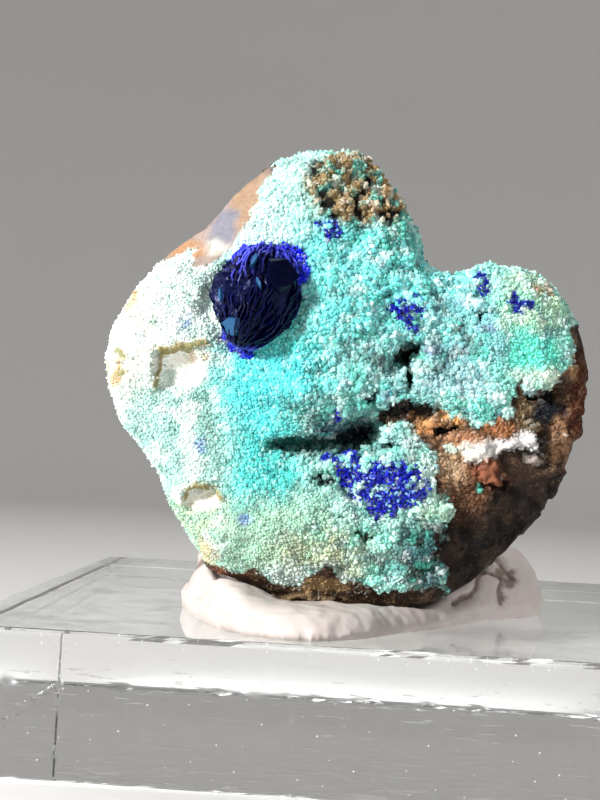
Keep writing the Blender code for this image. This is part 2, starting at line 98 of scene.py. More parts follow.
# Colours of the crust, painted in this order: place, x, z, half width, half height in mm, colour, strength
CRUST_COLOURS = [
    ("middle", 0.4, 26.0, 6.5, 7.0, "#6CD8D6", 0.9),
    # The white shoulder and white left edge are pale crust, made whiter still by a painted highlight where the light
    # from the left falls
    ("white shoulder", -10.6, 25.7, 3.5, 4.6, "#DFEEEA", 1.0),
    ("white left edge", -12.5, 22.8, 2.1, 4.0, "#F2EEE0", 1.0),
    ("pale top", -3.3, 33.1, 2.0, 1.7, "#C2EEE4", 0.9),
    ("pale above the rosette", -5.8, 30.6, 2.6, 1.7, "#D6F0EC", 0.9),
    ("turquoise streak", -4.4, 21.7, 2.7, 3.6, "#5CDCDE", 1.0),
    ("turquoise streak's foot", -4.4, 16.6, 2.0, 2.6, "#4ACBC6", 0.9),
    ("rosette's foot", -3.4, 24.9, 1.7, 1.4, "#63E3DC", 0.8),
    ("grey green left", -10.3, 19.1, 2.9, 2.2, "#A6CDC6", 0.9),
    ("pale left", -8.8, 16.9, 2.0, 1.4, "#B2D8CE", 0.8),
    ("lower belly", -3.0, 12.8, 4.8, 2.6, "#A0C6AE", 1.0),
    ("yellowish belly", -1.1, 12.0, 2.8, 1.4, "#C4CBA6", 0.8),
    ("lower left", -8.3, 14.2, 1.9, 1.6, "#BBD2AE", 0.9),
    ("grey white foot", -2.2, 10.9, 2.5, 0.8, "#C4D2CF", 0.8),
    ("mint right", 6.7, 25.3, 3.0, 2.6, "#88C8CA", 0.9),
    ("yellow green lobe", 10.4, 27.2, 2.2, 2.0, "#BEDFBE", 0.9),
    ("green glow", 10.4, 24.3, 1.5, 1.3, "#6FF5DA", 0.95),
    ("white mint ledge", 5.7, 22.4, 2.7, 0.9, "#A4CCD0", 0.9),
    ("pale band right", 11.4, 22.9, 1.9, 0.7, "#DDF2DC", 1.0),
    ("aqua strip", 7.7, 21.0, 1.6, 0.6, "#74DACC", 0.9),
    ("white lumps", 3.3, 19.2, 1.3, 0.7, "#D3E6E2", 0.9),
    ("white stripe", 4.7, 17.4, 0.6, 1.8, "#D6EEE4", 0.9),
    ("speckled middle", 1.7, 23.0, 2.6, 2.0, "#8ABFBA", 0.8),
    # Painted shade on the lip over the fissure
    ("lip over the fissure", -1.0, 20.2, 2.8, 1.2, "#5FA89C", 0.85),
    ("pale green knob", 5.1, 15.2, 1.2, 1.0, "#CDF6DC", 1.0),
    # Painted shade on the slope right of the top, the side turned away from the light
    ("dark slope", 2.6, 31.3, 1.0, 1.7, "#3F8878", 0.8),
    ("mottled green", 4.9, 12.5, 1.4, 2.2, "#1E2C24", 1.0),
    ("purple grey", 4.2, 24.1, 1.0, 0.5, "#8F8AA8", 0.8),
    ("upper cast", -9.4, 22.4, 1.4, 1.2, "#FFFDF6", 1.0),
    ("orange in the cast", -8.6, 23.3, 0.5, 0.6, "#E8AE68", 0.8),
    ("lower cast", -7.8, 15.1, 1.0, 0.7, "#FAEFE2", 0.9),
    ("left rim", -12.7, 26.8, 0.6, 1.2, "#DFA04B", 0.7),
    ("left rim low", -13.2, 22.0, 0.5, 1.0, "#CFA066", 0.8),
    ("tan foot", -7.6, 11.9, 0.7, 0.9, "#CDBE96", 0.9),
    ("orange spot", 10.9, 28.0, 0.5, 0.6, "#E39A63", 0.9),
    ("blue stain", -8.1, 18.0, 0.5, 0.4, "#7A90E0", 0.6),
    ("blue stain high", -9.2, 25.1, 0.4, 0.35, "#6C84DC", 0.6),
    ("blue stain low", -5.3, 14.0, 0.35, 0.35, "#6683D8", 0.6),
    ("blue spot", 2.1, 21.6, 0.35, 0.3, "#1C86A0", 0.9),
    ("blue stain right", 7.7, 25.5, 0.5, 0.3, "#7F9AB8", 0.7),
    # Painted light: a paler colour that lifts the rosette's cast shadow on the crust
    ("rosette's shadow side", -2.3, 25.6, 0.8, 1.4, "#8FE0DC", 0.6),
    # Painted shade: the fissure, the second hollow and the cave are painted dark
    ("fissure", -2.0, 18.4, 2.6, 0.45, "#1F7166", 0.9),
    ("second hollow", -0.7, 16.5, 0.8, 0.5, "#2C7A6C", 0.9),
    ("cave", -0.2, 19.2, 1.7, 0.8, "#0E3A4A", 1.0),
]

# Colours of the bare stone, in the same form
STONE_COLOURS = [
    ("shoulder", -8.0, 30.6, 4.8, 4.8, "#A4928A", 1.0),
    ("dark lower right", 9.2, 13.4, 4.6, 4.4, "#0B0807", 1.0),
    ("grey brown edge", 11.4, 16.2, 1.6, 2.4, "#1E1715", 0.9),
    ("brown middle", 6.6, 17.2, 1.8, 2.4, "#6B4A34", 0.9),
    ("orange small", 4.4, 19.9, 0.9, 0.5, "#DCA068", 1.0),
    ("orange small high", 5.9, 20.4, 0.5, 0.5, "#DCA268", 1.0),
    ("orange wall", 6.6, 19.0, 1.3, 0.7, "#B98562", 0.8),
    ("orange block", 8.7, 19.9, 1.0, 0.75, "#9E6844", 1.0),
    ("tan crumbs", 10.3, 20.7, 0.8, 1.2, "#6E5A40", 0.9),
    ("dark band", 3.4, 20.7, 2.0, 0.5, "#2E2723", 0.9),
    ("rust knob", 8.2, 17.4, 0.9, 0.75, "#8E5640", 1.0),
    ("tan flecks", 6.0, 17.6, 0.9, 1.3, "#B89A7A", 0.8),
    ("brown flecks right", 10.2, 17.7, 1.6, 0.8, "#4A382C", 0.7),
    ("slate", 11.7, 21.0, 0.9, 0.7, "#28323F", 0.9),
    ("brown rim", 12.4, 19.4, 0.7, 1.3, "#A47C5C", 0.8),
    ("red brown rim", 13.3, 21.6, 0.7, 3.6, "#4E2412", 0.9),
    ("black rim", 13.3, 25.6, 0.6, 1.3, "#1B1310", 0.9),
    ("tan lobe edge", 12.6, 24.2, 0.4, 1.2, "#B58F6B", 0.7),
    ("orange shoulder", -6.2, 32.2, 1.1, 1.9, "#A0856E", 1.0),
    ("blue grey shoulder", -7.6, 30.6, 0.9, 1.2, "#777B8C", 0.85),
    ("cream shoulder", -7.9, 29.4, 0.8, 0.6, "#CFCCC2", 0.9),
    ("orange rim", -9.6, 29.2, 1.1, 0.6, "#B08460", 0.9),
    ("rust foot", -6.3, 11.0, 1.0, 0.4, "#9C5F42", 0.9),
    ("tan foot edge", -1.0, 10.5, 1.6, 0.4, "#A98A62", 0.7),
]

# White and tan crusts that stand out of the bare stone: x, z, half width, half height, height in mm, colour
BARE_PATCHES = [
    ("white, left end", 7.3, 18.4, 0.85, 0.5, 0.3, "#E8E2D8"),
    ("white, middle", 8.5, 18.8, 0.9, 0.55, 0.4, "#ECE8E4"),
    ("white, right end", 9.9, 19.3, 0.9, 0.5, 0.4, "#E2E0DF"),
    ("white, far right", 10.7, 18.2, 0.7, 0.3, 0.3, "#A79C96"),
    ("rust knob", 8.2, 17.4, 0.75, 0.65, 0.5, "#8A563E"),
    ("aqua spot", 7.5, 16.3, 0.3, 0.28, 0.2, "#5BB3A2"),
    ("mint flecks", 6.0, 18.6, 0.4, 0.3, 0.2, "#CFE6D6"),
    ("tan rim", -2.6, 9.6, 3.2, 0.16, 0.15, "#8F7A5C"),
]

# Hollows sunk into the face: x, z, half width, half height, depth in millimetres, and how dark the painted shade in
# them is
HOLLOWS = [
    ("vug", 3.0, 23.8, 0.65, 0.7, 1.2, 1.0),
    ("vug's arm", 3.8, 24.2, 0.6, 0.35, 0.8, 0.9),
    ("vug's foot", 3.4, 22.4, 0.42, 0.75, 1.0, 1.0),
    ("crack", 1.4, 21.3, 0.3, 0.8, 0.7, 0.9),
    ("right hole", 7.3, 26.3, 0.4, 0.35, 0.7, 1.0),
    ("crack right of the vug", 5.1, 23.1, 0.5, 0.15, 0.5, 0.8),
    ("band", 3.6, 20.6, 2.1, 0.45, 0.6, 0.8),
    ("under the orange", 5.6, 19.6, 1.0, 0.22, 0.6, 1.0),
    ("fissure's left end", -3.7, 18.1, 0.7, 0.15, 0.5, 0.7),
    ("fissure", -2.3, 17.95, 1.2, 0.38, 0.9, 0.6),
    ("fissure's right end", -1.0, 18.1, 0.9, 0.55, 1.2, 0.65),
    ("cave", 0.4, 18.7, 1.35, 1.0, 1.8, 0.7),
    ("second hollow", -0.9, 16.5, 0.75, 0.45, 0.7, 0.85),
    ("left pit", 2.1, 27.1, 0.25, 0.35, 0.5, 0.9),
    ("notch", 1.5, 13.5, 0.7, 0.22, 0.5, 0.8),
    ("slate hollow", 11.7, 21.0, 0.9, 0.6, 0.5, 0.3),
    ("under the lobe", 11.1, 21.9, 0.9, 0.3, 0.6, 1.0),
    ("lumps' gap", 2.4, 18.7, 0.55, 0.4, 0.8, 1.0),
    ("under the knob", 8.4, 16.6, 0.9, 0.3, 0.4, 0.8),
    ("upper cast's floor", -9.4, 22.5, 1.1, 1.1, 0.3, 0.0),
]

# Thin walls of the moulds left by lost crystals: height and half width in mm, then points as (x, z)
CAST_WALLS = [
    (0.32, 0.15, [(-8.1, 23.8), (-9.4, 23.65), (-10.5, 23.4)]),
    (0.26, 0.11, [(-10.5, 23.4), (-10.65, 22.2), (-10.8, 21.3)]),
    (0.22, 0.11, [(-8.8, 15.0), (-8.7, 15.6), (-8.3, 15.9), (-7.5, 15.95), (-7.0, 15.8), (-6.8, 15.2)]),
    (0.2, 0.15, [(-13.0, 23.3), (-12.6, 23.0)]),
    (0.2, 0.15, [(-13.1, 21.8), (-12.5, 22.0)]),
]
CAST_WALL_COLOUR = "#97854A"

# The moulds' smooth floors, and the hollows that stay crusted inside: x, z, half width, half height in mm
CAST_FLOORS = [(-9.5, 22.4, 1.3, 1.1), (-7.8, 15.2, 0.9, 0.6)]
CRUSTED_HOLLOWS = [(-0.9, 18.7, 3.9, 1.6), (3.2, 23.4, 1.6, 1.8), (0.0, 16.4, 1.6, 0.9)]

# Crumbly parts of the bare stone: place, x, z, half width, half height in millimetres
CRUMBLED = [
    ("below the crust", 6.8, 17.2, 1.8, 2.8),
    ("orange and white", 8.4, 19.4, 3.4, 1.3),
    ("tan crumbs", 10.6, 20.6, 1.2, 1.4),
    ("dark band", 3.4, 20.6, 2.2, 0.5),
    ("foot", -0.5, 10.4, 3.2, 0.6),
    ("rust foot", -6.2, 11.2, 1.1, 0.4),
]

# The rough top: x, z, half width, half height in millimetres
ROUGH_TOP = (0.0, 33.1, 3.1, 2.3)

# Where azurite grows on the face: piece, CAD node, and its patches as (x, z, half width, half height) in mm
AZURITE_PATCHES = [
    ("azurite_patch_crystals", "azurite_patch",
     [(2.6, 16.3, 2.1, 1.3), (0.3, 17.0, 0.75, 0.8), (2.3, 15.1, 1.0, 0.7), (0.9, 16.2, 0.8, 0.5)]),
    ("azurite_middle_crystals", "azurite_middle",
     [(3.25, 26.75, 0.46, 0.68), (2.6, 26.05, 0.44, 0.36), (3.4, 25.5, 0.4, 0.46), (3.9, 26.3, 0.28, 0.3)]),
    ("azurite_upper_right_crystals", "azurite_upper_right", [(7.2, 28.3, 0.4, 0.6), (7.6, 27.7, 0.25, 0.3)]),
    ("azurite_far_right_crystals", "azurite_far_right", [(9.4, 27.5, 0.4, 0.3), (9.8, 27.0, 0.3, 0.35)]),
    ("azurite_top_crystals", "azurite_top", [(-1.3, 30.5, 0.68, 0.45)]),
    ("azurite_ledge_crystals", "azurite_ledge",
     [(-0.8, 17.7, 0.5, 0.35), (0.1, 17.8, 0.3, 0.3), (-0.6, 20.1, 0.45, 0.25), (0.5, 19.0, 0.9, 0.4)]),
]

# Flat faces on the rosette: sideways and upward angle in degrees, half width and half height as shares of
# the rosette's radius, turn in degrees, finish
# The steel-blue finish is colour painted in place of the light that the faces reflect; the dark finish is the crystal's
# own colour
ROSETTE_FACES = [
    (38, 24, 0.34, 0.4, -20, "dark"),
    (-27, -33, 0.27, 0.24, 14, "painted_reflection"),
    (1, 40, 0.045, 0.15, -12, "painted_reflection"),
    (10, 14, 0.03, 0.1, 30, "painted_reflection"),
    (-36, 2, 0.035, 0.13, 6, "painted_reflection"),
]

# Blue crystals at the rosette's feet: x, z, half width, half height in millimetres
ROSETTE_FRINGES = [
    (-4.0, 29.3, 0.7, 0.35), (-3.2, 28.9, 0.5, 0.5), (-2.7, 28.0, 0.35, 0.6), (-6.9, 24.4, 0.35, 0.5),
    (-6.4, 23.8, 0.5, 0.45), (-5.9, 23.4, 0.5, 0.35),
]

# Creases of the putty: depth and width in mm, then points as (x, z)
PUTTY_CREASES = [
    (0.45, 0.35, [(-9.9, 9.6), (-9.4, 10.6), (-8.6, 11.3), (-7.6, 11.6)]),
    (0.40, 0.22, [(9.0, 12.2), (9.7, 11.5), (10.4, 10.8), (10.7, 10.4)]),
    (0.30, 0.20, [(7.6, 11.4), (8.6, 11.1), (9.3, 10.9), (10.4, 10.4)]),
    (0.30, 0.28, [(8.4, 11.1), (8.2, 10.2), (7.8, 9.7), (6.8, 9.4)]),
    (0.20, 0.25, [(9.9, 10.6), (9.7, 9.8), (9.9, 9.0)]),
]
PUTTY_SMUDGES = [
    (9.8, 10.9, 0.6, 0.5), (10.5, 10.9, 0.35, 0.25), (10.3, 10.2, 0.6, 0.4), (9.2, 12.0, 0.5, 0.4), (9.9, 9.3, 0.4, 0.4),
]


def linear(code):
    """A colour written as #RRGGBB, as linear red, green and blue."""
    shares = [int(code[start:start + 2], 16) / 255 for start in (1, 3, 5)]
    return tuple(v / 12.92 if v < 0.04045 else ((v + 0.055) / 1.055) ** 2.4 for v in shares)


class StoneSettings(bpy.types.PropertyGroup):
    """Sizes and colours of the stone's own surface."""

    cell: FloatProperty(
        name="Cell", description="Width of one cell of the surface", default=0.155 * MM, unit="LENGTH",
        precision=5)
    lump_size: FloatProperty(
        name="Lump size", description="Width of the crust's rounded lumps", default=1.15 * MM, unit="LENGTH",
        precision=5)
    lump_height: FloatProperty(
        name="Lump height", description="How far the lumps stand out", default=0.4 * MM, unit="LENGTH",
        precision=5)
    inset: FloatProperty(
        name="Inset", description="How far the surface lies under the tips of the grains", default=0.12 * MM,
        unit="LENGTH", precision=5)
    rough_height: FloatProperty(
        name="Roughness height", description="Relief of the bare stone", default=0.3 * MM, unit="LENGTH",
        precision=5)
    crust_colour: FloatVectorProperty(
        name="Crust", description="Colour of the crust where nothing else is painted", subtype="COLOR",
        default=linear("#A5DFD3"), min=0, max=1)
    bare_colour: FloatVectorProperty(
        name="Bare stone", description="Colour of the stone under the crust", subtype="COLOR",
        default=linear("#3A2A1E"), min=0, max=1)


class GrainSettings(bpy.types.PropertyGroup):
    """The crust's separate grains."""

    spacing: FloatProperty(
        name="Spacing", description="Least distance between two grains", default=0.15 * MM, unit="LENGTH",
        precision=5)
    size: FloatProperty(
        name="Size", description="Radius of a middling grain", default=0.14 * MM, unit="LENGTH", precision=5)
    seed: IntProperty(name="Seed", description="Seed of the grains' places and turns", default=4)


class AzuriteSettings(bpy.types.PropertyGroup):
    """The rosette's blades and the small crystals."""

    blades: IntProperty(name="Blades", description="Number of blades in the rosette's fan", default=104, min=3)
    spread: FloatProperty(
        name="Spread", description="Angle of the whole fan", default=math.radians(164), unit="ROTATION")
    lean: FloatProperty(
        name="Lean", description="Turn of the fan in the face's plane", default=math.radians(15), unit="ROTATION")
    spine_tilt: FloatProperty(
        name="Spine tilt", description="How far the spine's top leans into the stone",
        default=math.radians(15), unit="ROTATION")
    crystal: FloatProperty(
        name="Crystal", description="Radius of a middling small crystal", default=0.16 * MM, unit="LENGTH",
        precision=5)
    spacing: FloatProperty(
        name="Spacing", description="Least distance between two small crystals", default=0.15 * MM,
        unit="LENGTH", precision=5)


class PuttySettings(bpy.types.PropertyGroup):
    """The putty."""

    cell: FloatProperty(
        name="Cell", description="Width of one cell of the surface", default=0.17 * MM, unit="LENGTH", precision=5)
    dent_height: FloatProperty(
        name="Dents", description="Height of the kneaded dents", default=0.16 * MM, unit="LENGTH", precision=5)


class BlockSettings(bpy.types.PropertyGroup):
    """The clear block."""

    chip: FloatProperty(
        name="Chips", description="Deepest chip out of an edge", default=0.12 * MM, unit="LENGTH", precision=5)
    edge: FloatProperty(
        name="Edge", description="Width of the broken edge", default=0.3 * MM, unit="LENGTH", precision=5)
    specks: IntProperty(name="Specks", description="Specks of dust for each square centimetre", default=24)


class StageSettings(bpy.types.PropertyGroup):
    """Floor, lights and camera."""

    floor_colour: FloatVectorProperty(
        name="Floor", description="Colour of the floor and its upturned rim", subtype="COLOR",
        default=(0.62, 0.61, 0.6), min=0, max=1)
    key_power: FloatProperty(name="Key light", description="Power of the light at the left, in watts", default=0.84)
    fill_power: FloatProperty(name="Fill light", description="Power of the light at the right", default=0.1)
    top_power: FloatProperty(name="Top light", description="Power of the light overhead", default=0.3)


def put(tree, kind, inputs=None, **settings):
    """Adds a node. Each input, by name or number, is a value or the socket that feeds it."""
    node = tree.nodes.new(kind)
    for name, value in settings.items():
        setattr(node, name, value)
    for key, value in (inputs or {}).items():
        if isinstance(value, bpy.types.NodeSocket):
            tree.links.new(value, node.inputs[key])
        else:
            node.inputs[key].default_value = value
    return node


def maths(tree, operation, first, second=0.0, third=0.0):
    inputs = {0: first, 1: second, 2: third}
    return put(tree, "ShaderNodeMath", inputs, operation=operation).outputs[0]


def mix_colour(tree, share, first, second, blend="MIX"):
    inputs = {0: share, 6: first, 7: second}
    return put(tree, "ShaderNodeMix", inputs, data_type="RGBA", blend_type=blend).outputs[2]


def spread_between(tree, value, low, high, to_low=0.0, to_high=1.0):
    """Maps low..high to to_low..to_high with soft ends."""
    inputs = {0: value, 1: low, 2: high, 3: to_low, 4: to_high}
    return put(tree, "ShaderNodeMapRange", inputs, interpolation_type="SMOOTHSTEP").outputs[0]


def attribute(tree, name, output="Fac"):
    return put(tree, "ShaderNodeAttribute", attribute_name=name).outputs[output]


def noise_value(tree, coordinates, size, detail=3.0, roughness=0.6):
    inputs = {"Vector": coordinates, "Scale": 1 / size, "Detail": detail, "Roughness": roughness}
    return put(tree, "ShaderNodeTexNoise", inputs).outputs["Fac"]


def socket(tree, name, kind, value=None, out=False):
    made = tree.interface.new_socket(name, in_out="OUTPUT" if out else "INPUT", socket_type=kind)
    if value is not None:
        made.default_value = value
    return made


def mottle_group():
    """A shared effect: tones a colour with fine and coarse mottling, and says how light each place is."""
    tree = bpy.data.node_groups.get("mottle")
    if tree:
        return tree
    tree = bpy.data.node_groups.new("mottle", "ShaderNodeTree")
    socket(tree, "Colour", "NodeSocketColor", (0.5, 0.5, 0.5, 1))
    socket(tree, "Dark", "NodeSocketColor", (0.1, 0.1, 0.1, 1))
    socket(tree, "Light", "NodeSocketColor", (0.9, 0.9, 0.9, 1))
    socket(tree, "Fine scale", "NodeSocketFloat", 5000.0)
    socket(tree, "Coarse scale", "NodeSocketFloat", 900.0)
    socket(tree, "Dark share", "NodeSocketFloat", 0.5)
    socket(tree, "Light share", "NodeSocketFloat", 0.3)
    socket(tree, "Colour", "NodeSocketColor", out=True)
    socket(tree, "Relief", "NodeSocketFloat", out=True)
    given = put(tree, "NodeGroupInput").outputs
    place = put(tree, "ShaderNodeTexCoord").outputs["Object"]
    fine = put(tree, "ShaderNodeTexNoise", {"Vector": place, "Scale": given["Fine scale"], "Detail": 3.0})
    coarse = put(tree, "ShaderNodeTexNoise", {"Vector": place, "Scale": given["Coarse scale"], "Detail": 4.0})
    both = maths(tree, "MULTIPLY_ADD", fine.outputs["Fac"], 0.6, maths(tree, "MULTIPLY", coarse.outputs["Fac"], 0.4))
    dark = maths(tree, "MULTIPLY", spread_between(tree, both, 0.52, 0.40), given["Dark share"])
    light = maths(tree, "MULTIPLY", spread_between(tree, both, 0.53, 0.64), given["Light share"])
    darker = mix_colour(tree, dark, given["Colour"], given["Dark"])
    put(tree, "NodeGroupOutput", {0: mix_colour(tree, light, darker, given["Light"]), 1: both})
    return tree


def mottled(tree, colour, dark, light, fine, coarse, dark_share, light_share):
    """Places the shared mottling in a material, for features of those sizes in metres."""
    speckle = attribute(tree, "speckle")
    inputs = {"Colour": colour, "Dark": (*linear(dark), 1), "Light": (*linear(light), 1), "Fine scale": 1 / fine,
              "Coarse scale": 1 / coarse, "Dark share": maths(tree, "MULTIPLY", speckle, dark_share),
              "Light share": maths(tree, "MULTIPLY", speckle, light_share)}
    return put(tree, "ShaderNodeGroup", inputs, node_tree=mottle_group()).outputs


def new_material(name, **values):
    """A material with a Principled shader. Returns it with its tree, shader and object coordinates."""
    made = bpy.data.materials.new(name)
    made.use_nodes = True
    tree = made.node_tree
    shader = tree.nodes["Principled BSDF"]
    for key, value in values.items():
        shader.inputs[key.replace("_", " ")].default_value = value
    place = put(tree, "ShaderNodeTexCoord").outputs["Object"]
    return made, tree, shader, place


def bump(tree, shader, height, distance, strength=1.0):
    made = put(tree, "ShaderNodeBump", {"Height": height, "Distance": distance, "Strength": strength})
    tree.links.new(made.outputs[0], shader.inputs["Normal"])


def stone_material():
    made, tree, shader, place = new_material("crusted stone", Specular_IOR_Level=0.16)
    tint = attribute(tree, "tint", "Color")
    crust = mottled(tree, tint, "#5E9C92", "#F4FFFA", 0.1 * MM, 0.6 * MM, 0.4, 0.5)
    bare = mottled(tree, tint, "#120C09", "#B99A74", 0.16 * MM, 0.7 * MM, 0.75, 0.35)
    ragged = maths(tree, "MULTIPLY_ADD", noise_value(tree, place, 0.35 * MM, 4.0), 0.9, -0.45)
    share = spread_between(tree, maths(tree, "ADD", attribute(tree, "crust"), ragged), 0.45, 0.55)
    colour = mix_colour(tree, share, bare["Colour"], crust["Colour"])
    # Painted shade: the colour darkens in the hollows
    shaded = shaded_colour(tree, colour, 0.02)
    tree.links.new(shaded, shader.inputs["Base Color"])
    polish = spread_between(tree, noise_value(tree, place, 0.8 * MM), 0.35, 0.65, 0.45, 0.85)
    tree.links.new(polish, shader.inputs["Roughness"])
    bump(tree, shader, noise_value(tree, place, 0.13 * MM, 5.0, 0.7), 0.07 * MM)
    return made


def shaded_colour(tree, colour, darkest):
    """The colour darkened by painted shade in the hollows, down to that share of it."""
    shade = spread_between(tree, attribute(tree, "cavity"), 0.2, 1.3, 1.0, darkest)
    grey = put(tree, "ShaderNodeCombineColor", {0: shade, 1: shade, 2: shade}).outputs[0]
    return mix_colour(tree, 1.0, colour, grey, "MULTIPLY")


def grain_material():
    """Sugary grains: each takes the tint of its place, lighter, darker or glossier by its own number, and darkened by
    painted shade in the hollows.
    """
    made, tree, shader, _ = new_material("crust grains", Specular_IOR_Level=0.25, Subsurface_Weight=0.15,
                                         Subsurface_Scale=0.3 * MM)
    tint = attribute(tree, "tint", "Color")
    own = attribute(tree, "grain_number")
    white = mix_colour(tree, 0.4, (*linear("#F7FFFC"), 1), tint)
    palest = maths(tree, "MULTIPLY", attribute(tree, "speckle"), 0.42)
    pale = mix_colour(tree, spread_between(tree, own, 0.6, 1.0, 0.0, palest), tint, white)
    deep = mix_colour(tree, 1.0, tint, (*linear("#B4C8CA"), 1), "MULTIPLY")
    toned = mix_colour(tree, spread_between(tree, own, 0.4, 0.0, 0.0, 0.6), pale, deep)
    # Painted shade: the grains darken in the hollows
    tree.links.new(shaded_colour(tree, toned, 0.06), shader.inputs["Base Color"])
    glints = maths(tree, "FRACT", maths(tree, "MULTIPLY", own, 37.0))
    tree.links.new(spread_between(tree, glints, 0.0, 0.18, 0.28, 0.7), shader.inputs["Roughness"])
    return made


def azurite_material(name, deep, bright, roughness, own_share=0.4, rim_highlight_share=0.35, gloss_level=0.45, dotted=0.0):
    """Blue crystal: bright at its rims as a painted highlight, deeper or brighter by each crystal's own number, some of
    them pale.
    """
    made, tree, shader, place = new_material(
        name, Specular_IOR_Level=gloss_level, IOR=1.6, Specular_Tint=(0.5, 0.55, 1.0, 1.0))
    own = attribute(tree, "grain_number")
    waves = noise_value(tree, place, 0.4 * MM, 2.0)
    share = maths(tree, "MULTIPLY", maths(tree, "ADD", own, waves), own_share)
    # Painted highlight: the rims take the bright colour
    rim = maths(tree, "POWER", attribute(tree, "rim"), 7.0)
    rimmed = maths(tree, "MULTIPLY_ADD", rim, rim_highlight_share, share)
    colour = mix_colour(tree, spread_between(tree, rimmed, 0.25, 0.95), (*linear(deep), 1), (*linear(bright), 1))
    pale = spread_between(tree, own, 0.84, 0.9, 0.0, dotted)
    colour = mix_colour(tree, pale, colour, (*linear("#9ADCEC"), 1))
    tree.links.new(colour, shader.inputs["Base Color"])
    gloss = spread_between(tree, noise_value(tree, place, 0.3 * MM), 0.3, 0.7, roughness, roughness + 0.25)
    tree.links.new(gloss, shader.inputs["Roughness"])
    bump(tree, shader, noise_value(tree, place, 0.14 * MM, 3.0), 0.015 * MM)
    return made


def putty_material():
    made, tree, shader, place = new_material("putty", Specular_IOR_Level=0.3, Subsurface_Weight=0.12)
    shader.inputs["Subsurface Radius"].default_value = (0.6 * MM, 0.35 * MM, 0.25 * MM)
    shader.inputs["Subsurface Scale"].default_value = 1.0
    base = mix_colour(tree, noise_value(tree, place, 3 * MM, 2.0), (*linear("#B6A8A3"), 1), (*linear("#D0C8C5"), 1))
    # Darker brown where the creases and smudges are
    dirt = attribute(tree, "dirt")
    broken = maths(tree, "MULTIPLY_ADD", noise_value(tree, place, 0.35 * MM, 5.0, 0.7), 1.3, -0.65)
    share = spread_between(tree, maths(tree, "ADD", dirt, broken), 0.35, 0.95, 0.0, 0.8)
    darkened_colour = mix_colour(tree, share, base, (*linear("#5C4333"), 1))
    flecks = spread_between(tree, noise_value(tree, place, 0.12 * MM, 1.0), 0.74, 0.8, 0.0, 0.35)
    tree.links.new(mix_colour(tree, flecks, darkened_colour, (*linear("#8C7666"), 1)), shader.inputs["Base Color"])
    tree.links.new(spread_between(tree, noise_value(tree, place, 1.2 * MM), 0.3, 0.7, 0.42, 0.7),
                   shader.inputs["Roughness"])
    bump(tree, shader, noise_value(tree, place, 0.4 * MM, 4.0), 0.03 * MM, 0.7)
    return made


def acrylic_material():
    """Clear plastic that lets lamps through. Scuffs and hairline scratches only change gloss and normal."""
    made, tree, shader, place = new_material(
        "clear acrylic", Transmission_Weight=1.0, IOR=1.49, Base_Color=(0.97, 0.975, 0.975, 1))
    stretched = put(tree, "ShaderNodeMapping", {"Vector": place, "Rotation": (0.2, 0.5, 0.7),
                                                "Scale": (1.0, 14.0, 9.0)}).outputs[0]
    scratches = spread_between(tree, noise_value(tree, stretched, 2.2 * MM, 6.0, 0.75), 0.6, 0.66)
    scuffs = spread_between(tree, noise_value(tree, place, 5 * MM, 5.0, 0.65), 0.45, 0.75, 0.02, 0.16)
    tree.links.new(maths(tree, "MULTIPLY_ADD", scratches, 0.12, scuffs), shader.inputs["Roughness"])
    bump(tree, shader, scratches, 0.004 * MM, 0.6)
    shadow = put(tree, "ShaderNodeLightPath").outputs["Is Shadow Ray"]
    open_way = put(tree, "ShaderNodeBsdfTransparent", {0: (0.9, 0.92, 0.92, 1)}).outputs[0]
    both = put(tree, "ShaderNodeMixShader", {0: shadow, 1: shader.outputs[0], 2: open_way}).outputs[0]
    tree.links.new(both, tree.nodes["Material Output"].inputs["Surface"])
    return made


def plain_material(name, colour, roughness):
    """A matt finish with a faint mottling."""
    made, tree, shader, place = new_material(name, Roughness=roughness)
    darker = tuple(0.8 * value for value in colour)
    mixed = mix_colour(tree, noise_value(tree, place, 0.6 * MM), (*darker, 1), (*colour, 1))
    tree.links.new(mixed, shader.inputs["Base Color"])
    return made


def object_from(name, bm):
    mesh = bpy.data.meshes.new(name)
    bm.to_mesh(mesh)
    bm.free()
    made = bpy.data.objects.new(name, mesh)
    bpy.context.scene.collection.objects.link(made)
    return made


def bake(obj):
    """Turns the object into the plain mesh of its evaluated shape, and removes its modifiers."""
    bpy.context.view_layer.update()
    graph = bpy.context.evaluated_depsgraph_get()
    mesh = bpy.data.meshes.new_from_object(obj.evaluated_get(graph))
    obj.modifiers.clear()
    obj.data = mesh
    mesh.name = obj.name
    return obj


def points_of(mesh, key="co"):
    flat = np.empty(len(mesh.vertices) * 3, np.float32)
    if key == "co":
        mesh.vertices.foreach_get("co", flat)
    else:
        mesh.vertex_normals.foreach_get("vector", flat)
    return flat.reshape(-1, 3).astype(float)


def move_points(mesh, points):
    mesh.vertices.foreach_set("co", points.astype(np.float32).ravel())
    mesh.update()


def store(mesh, name, values):
    """Keeps one number, or one colour, for each point."""
    kind = "FLOAT" if values.ndim == 1 else "FLOAT_COLOR"
    made = mesh.attributes.new(name, kind, "POINT")
    if values.ndim == 1:
        made.data.foreach_set("value", values.astype(np.float32))
    else:
        opaque = np.column_stack([values, np.ones(len(values))])
        made.data.foreach_set("color", opaque.astype(np.float32).ravel())


def smooth(value):
    value = np.clip(value, 0, 1)
    return value * value * (3 - 2 * value)


def fractal(points, size, octaves=3, shift=0.0):
    """Noise between about -1 and 1 for each point."""
    moved = points / size + shift
    return np.array([noise.fractal(Vector(point), 1.0, 2.0, octaves) for point in moved])


def cells(points, size):
    """Distance to the nearest and to the second cell centre, in cell widths."""
    found = [noise.voronoi(Vector(point))[0] for point in points / size]
    return np.array([row[0] for row in found]), np.array([row[1] for row in found])


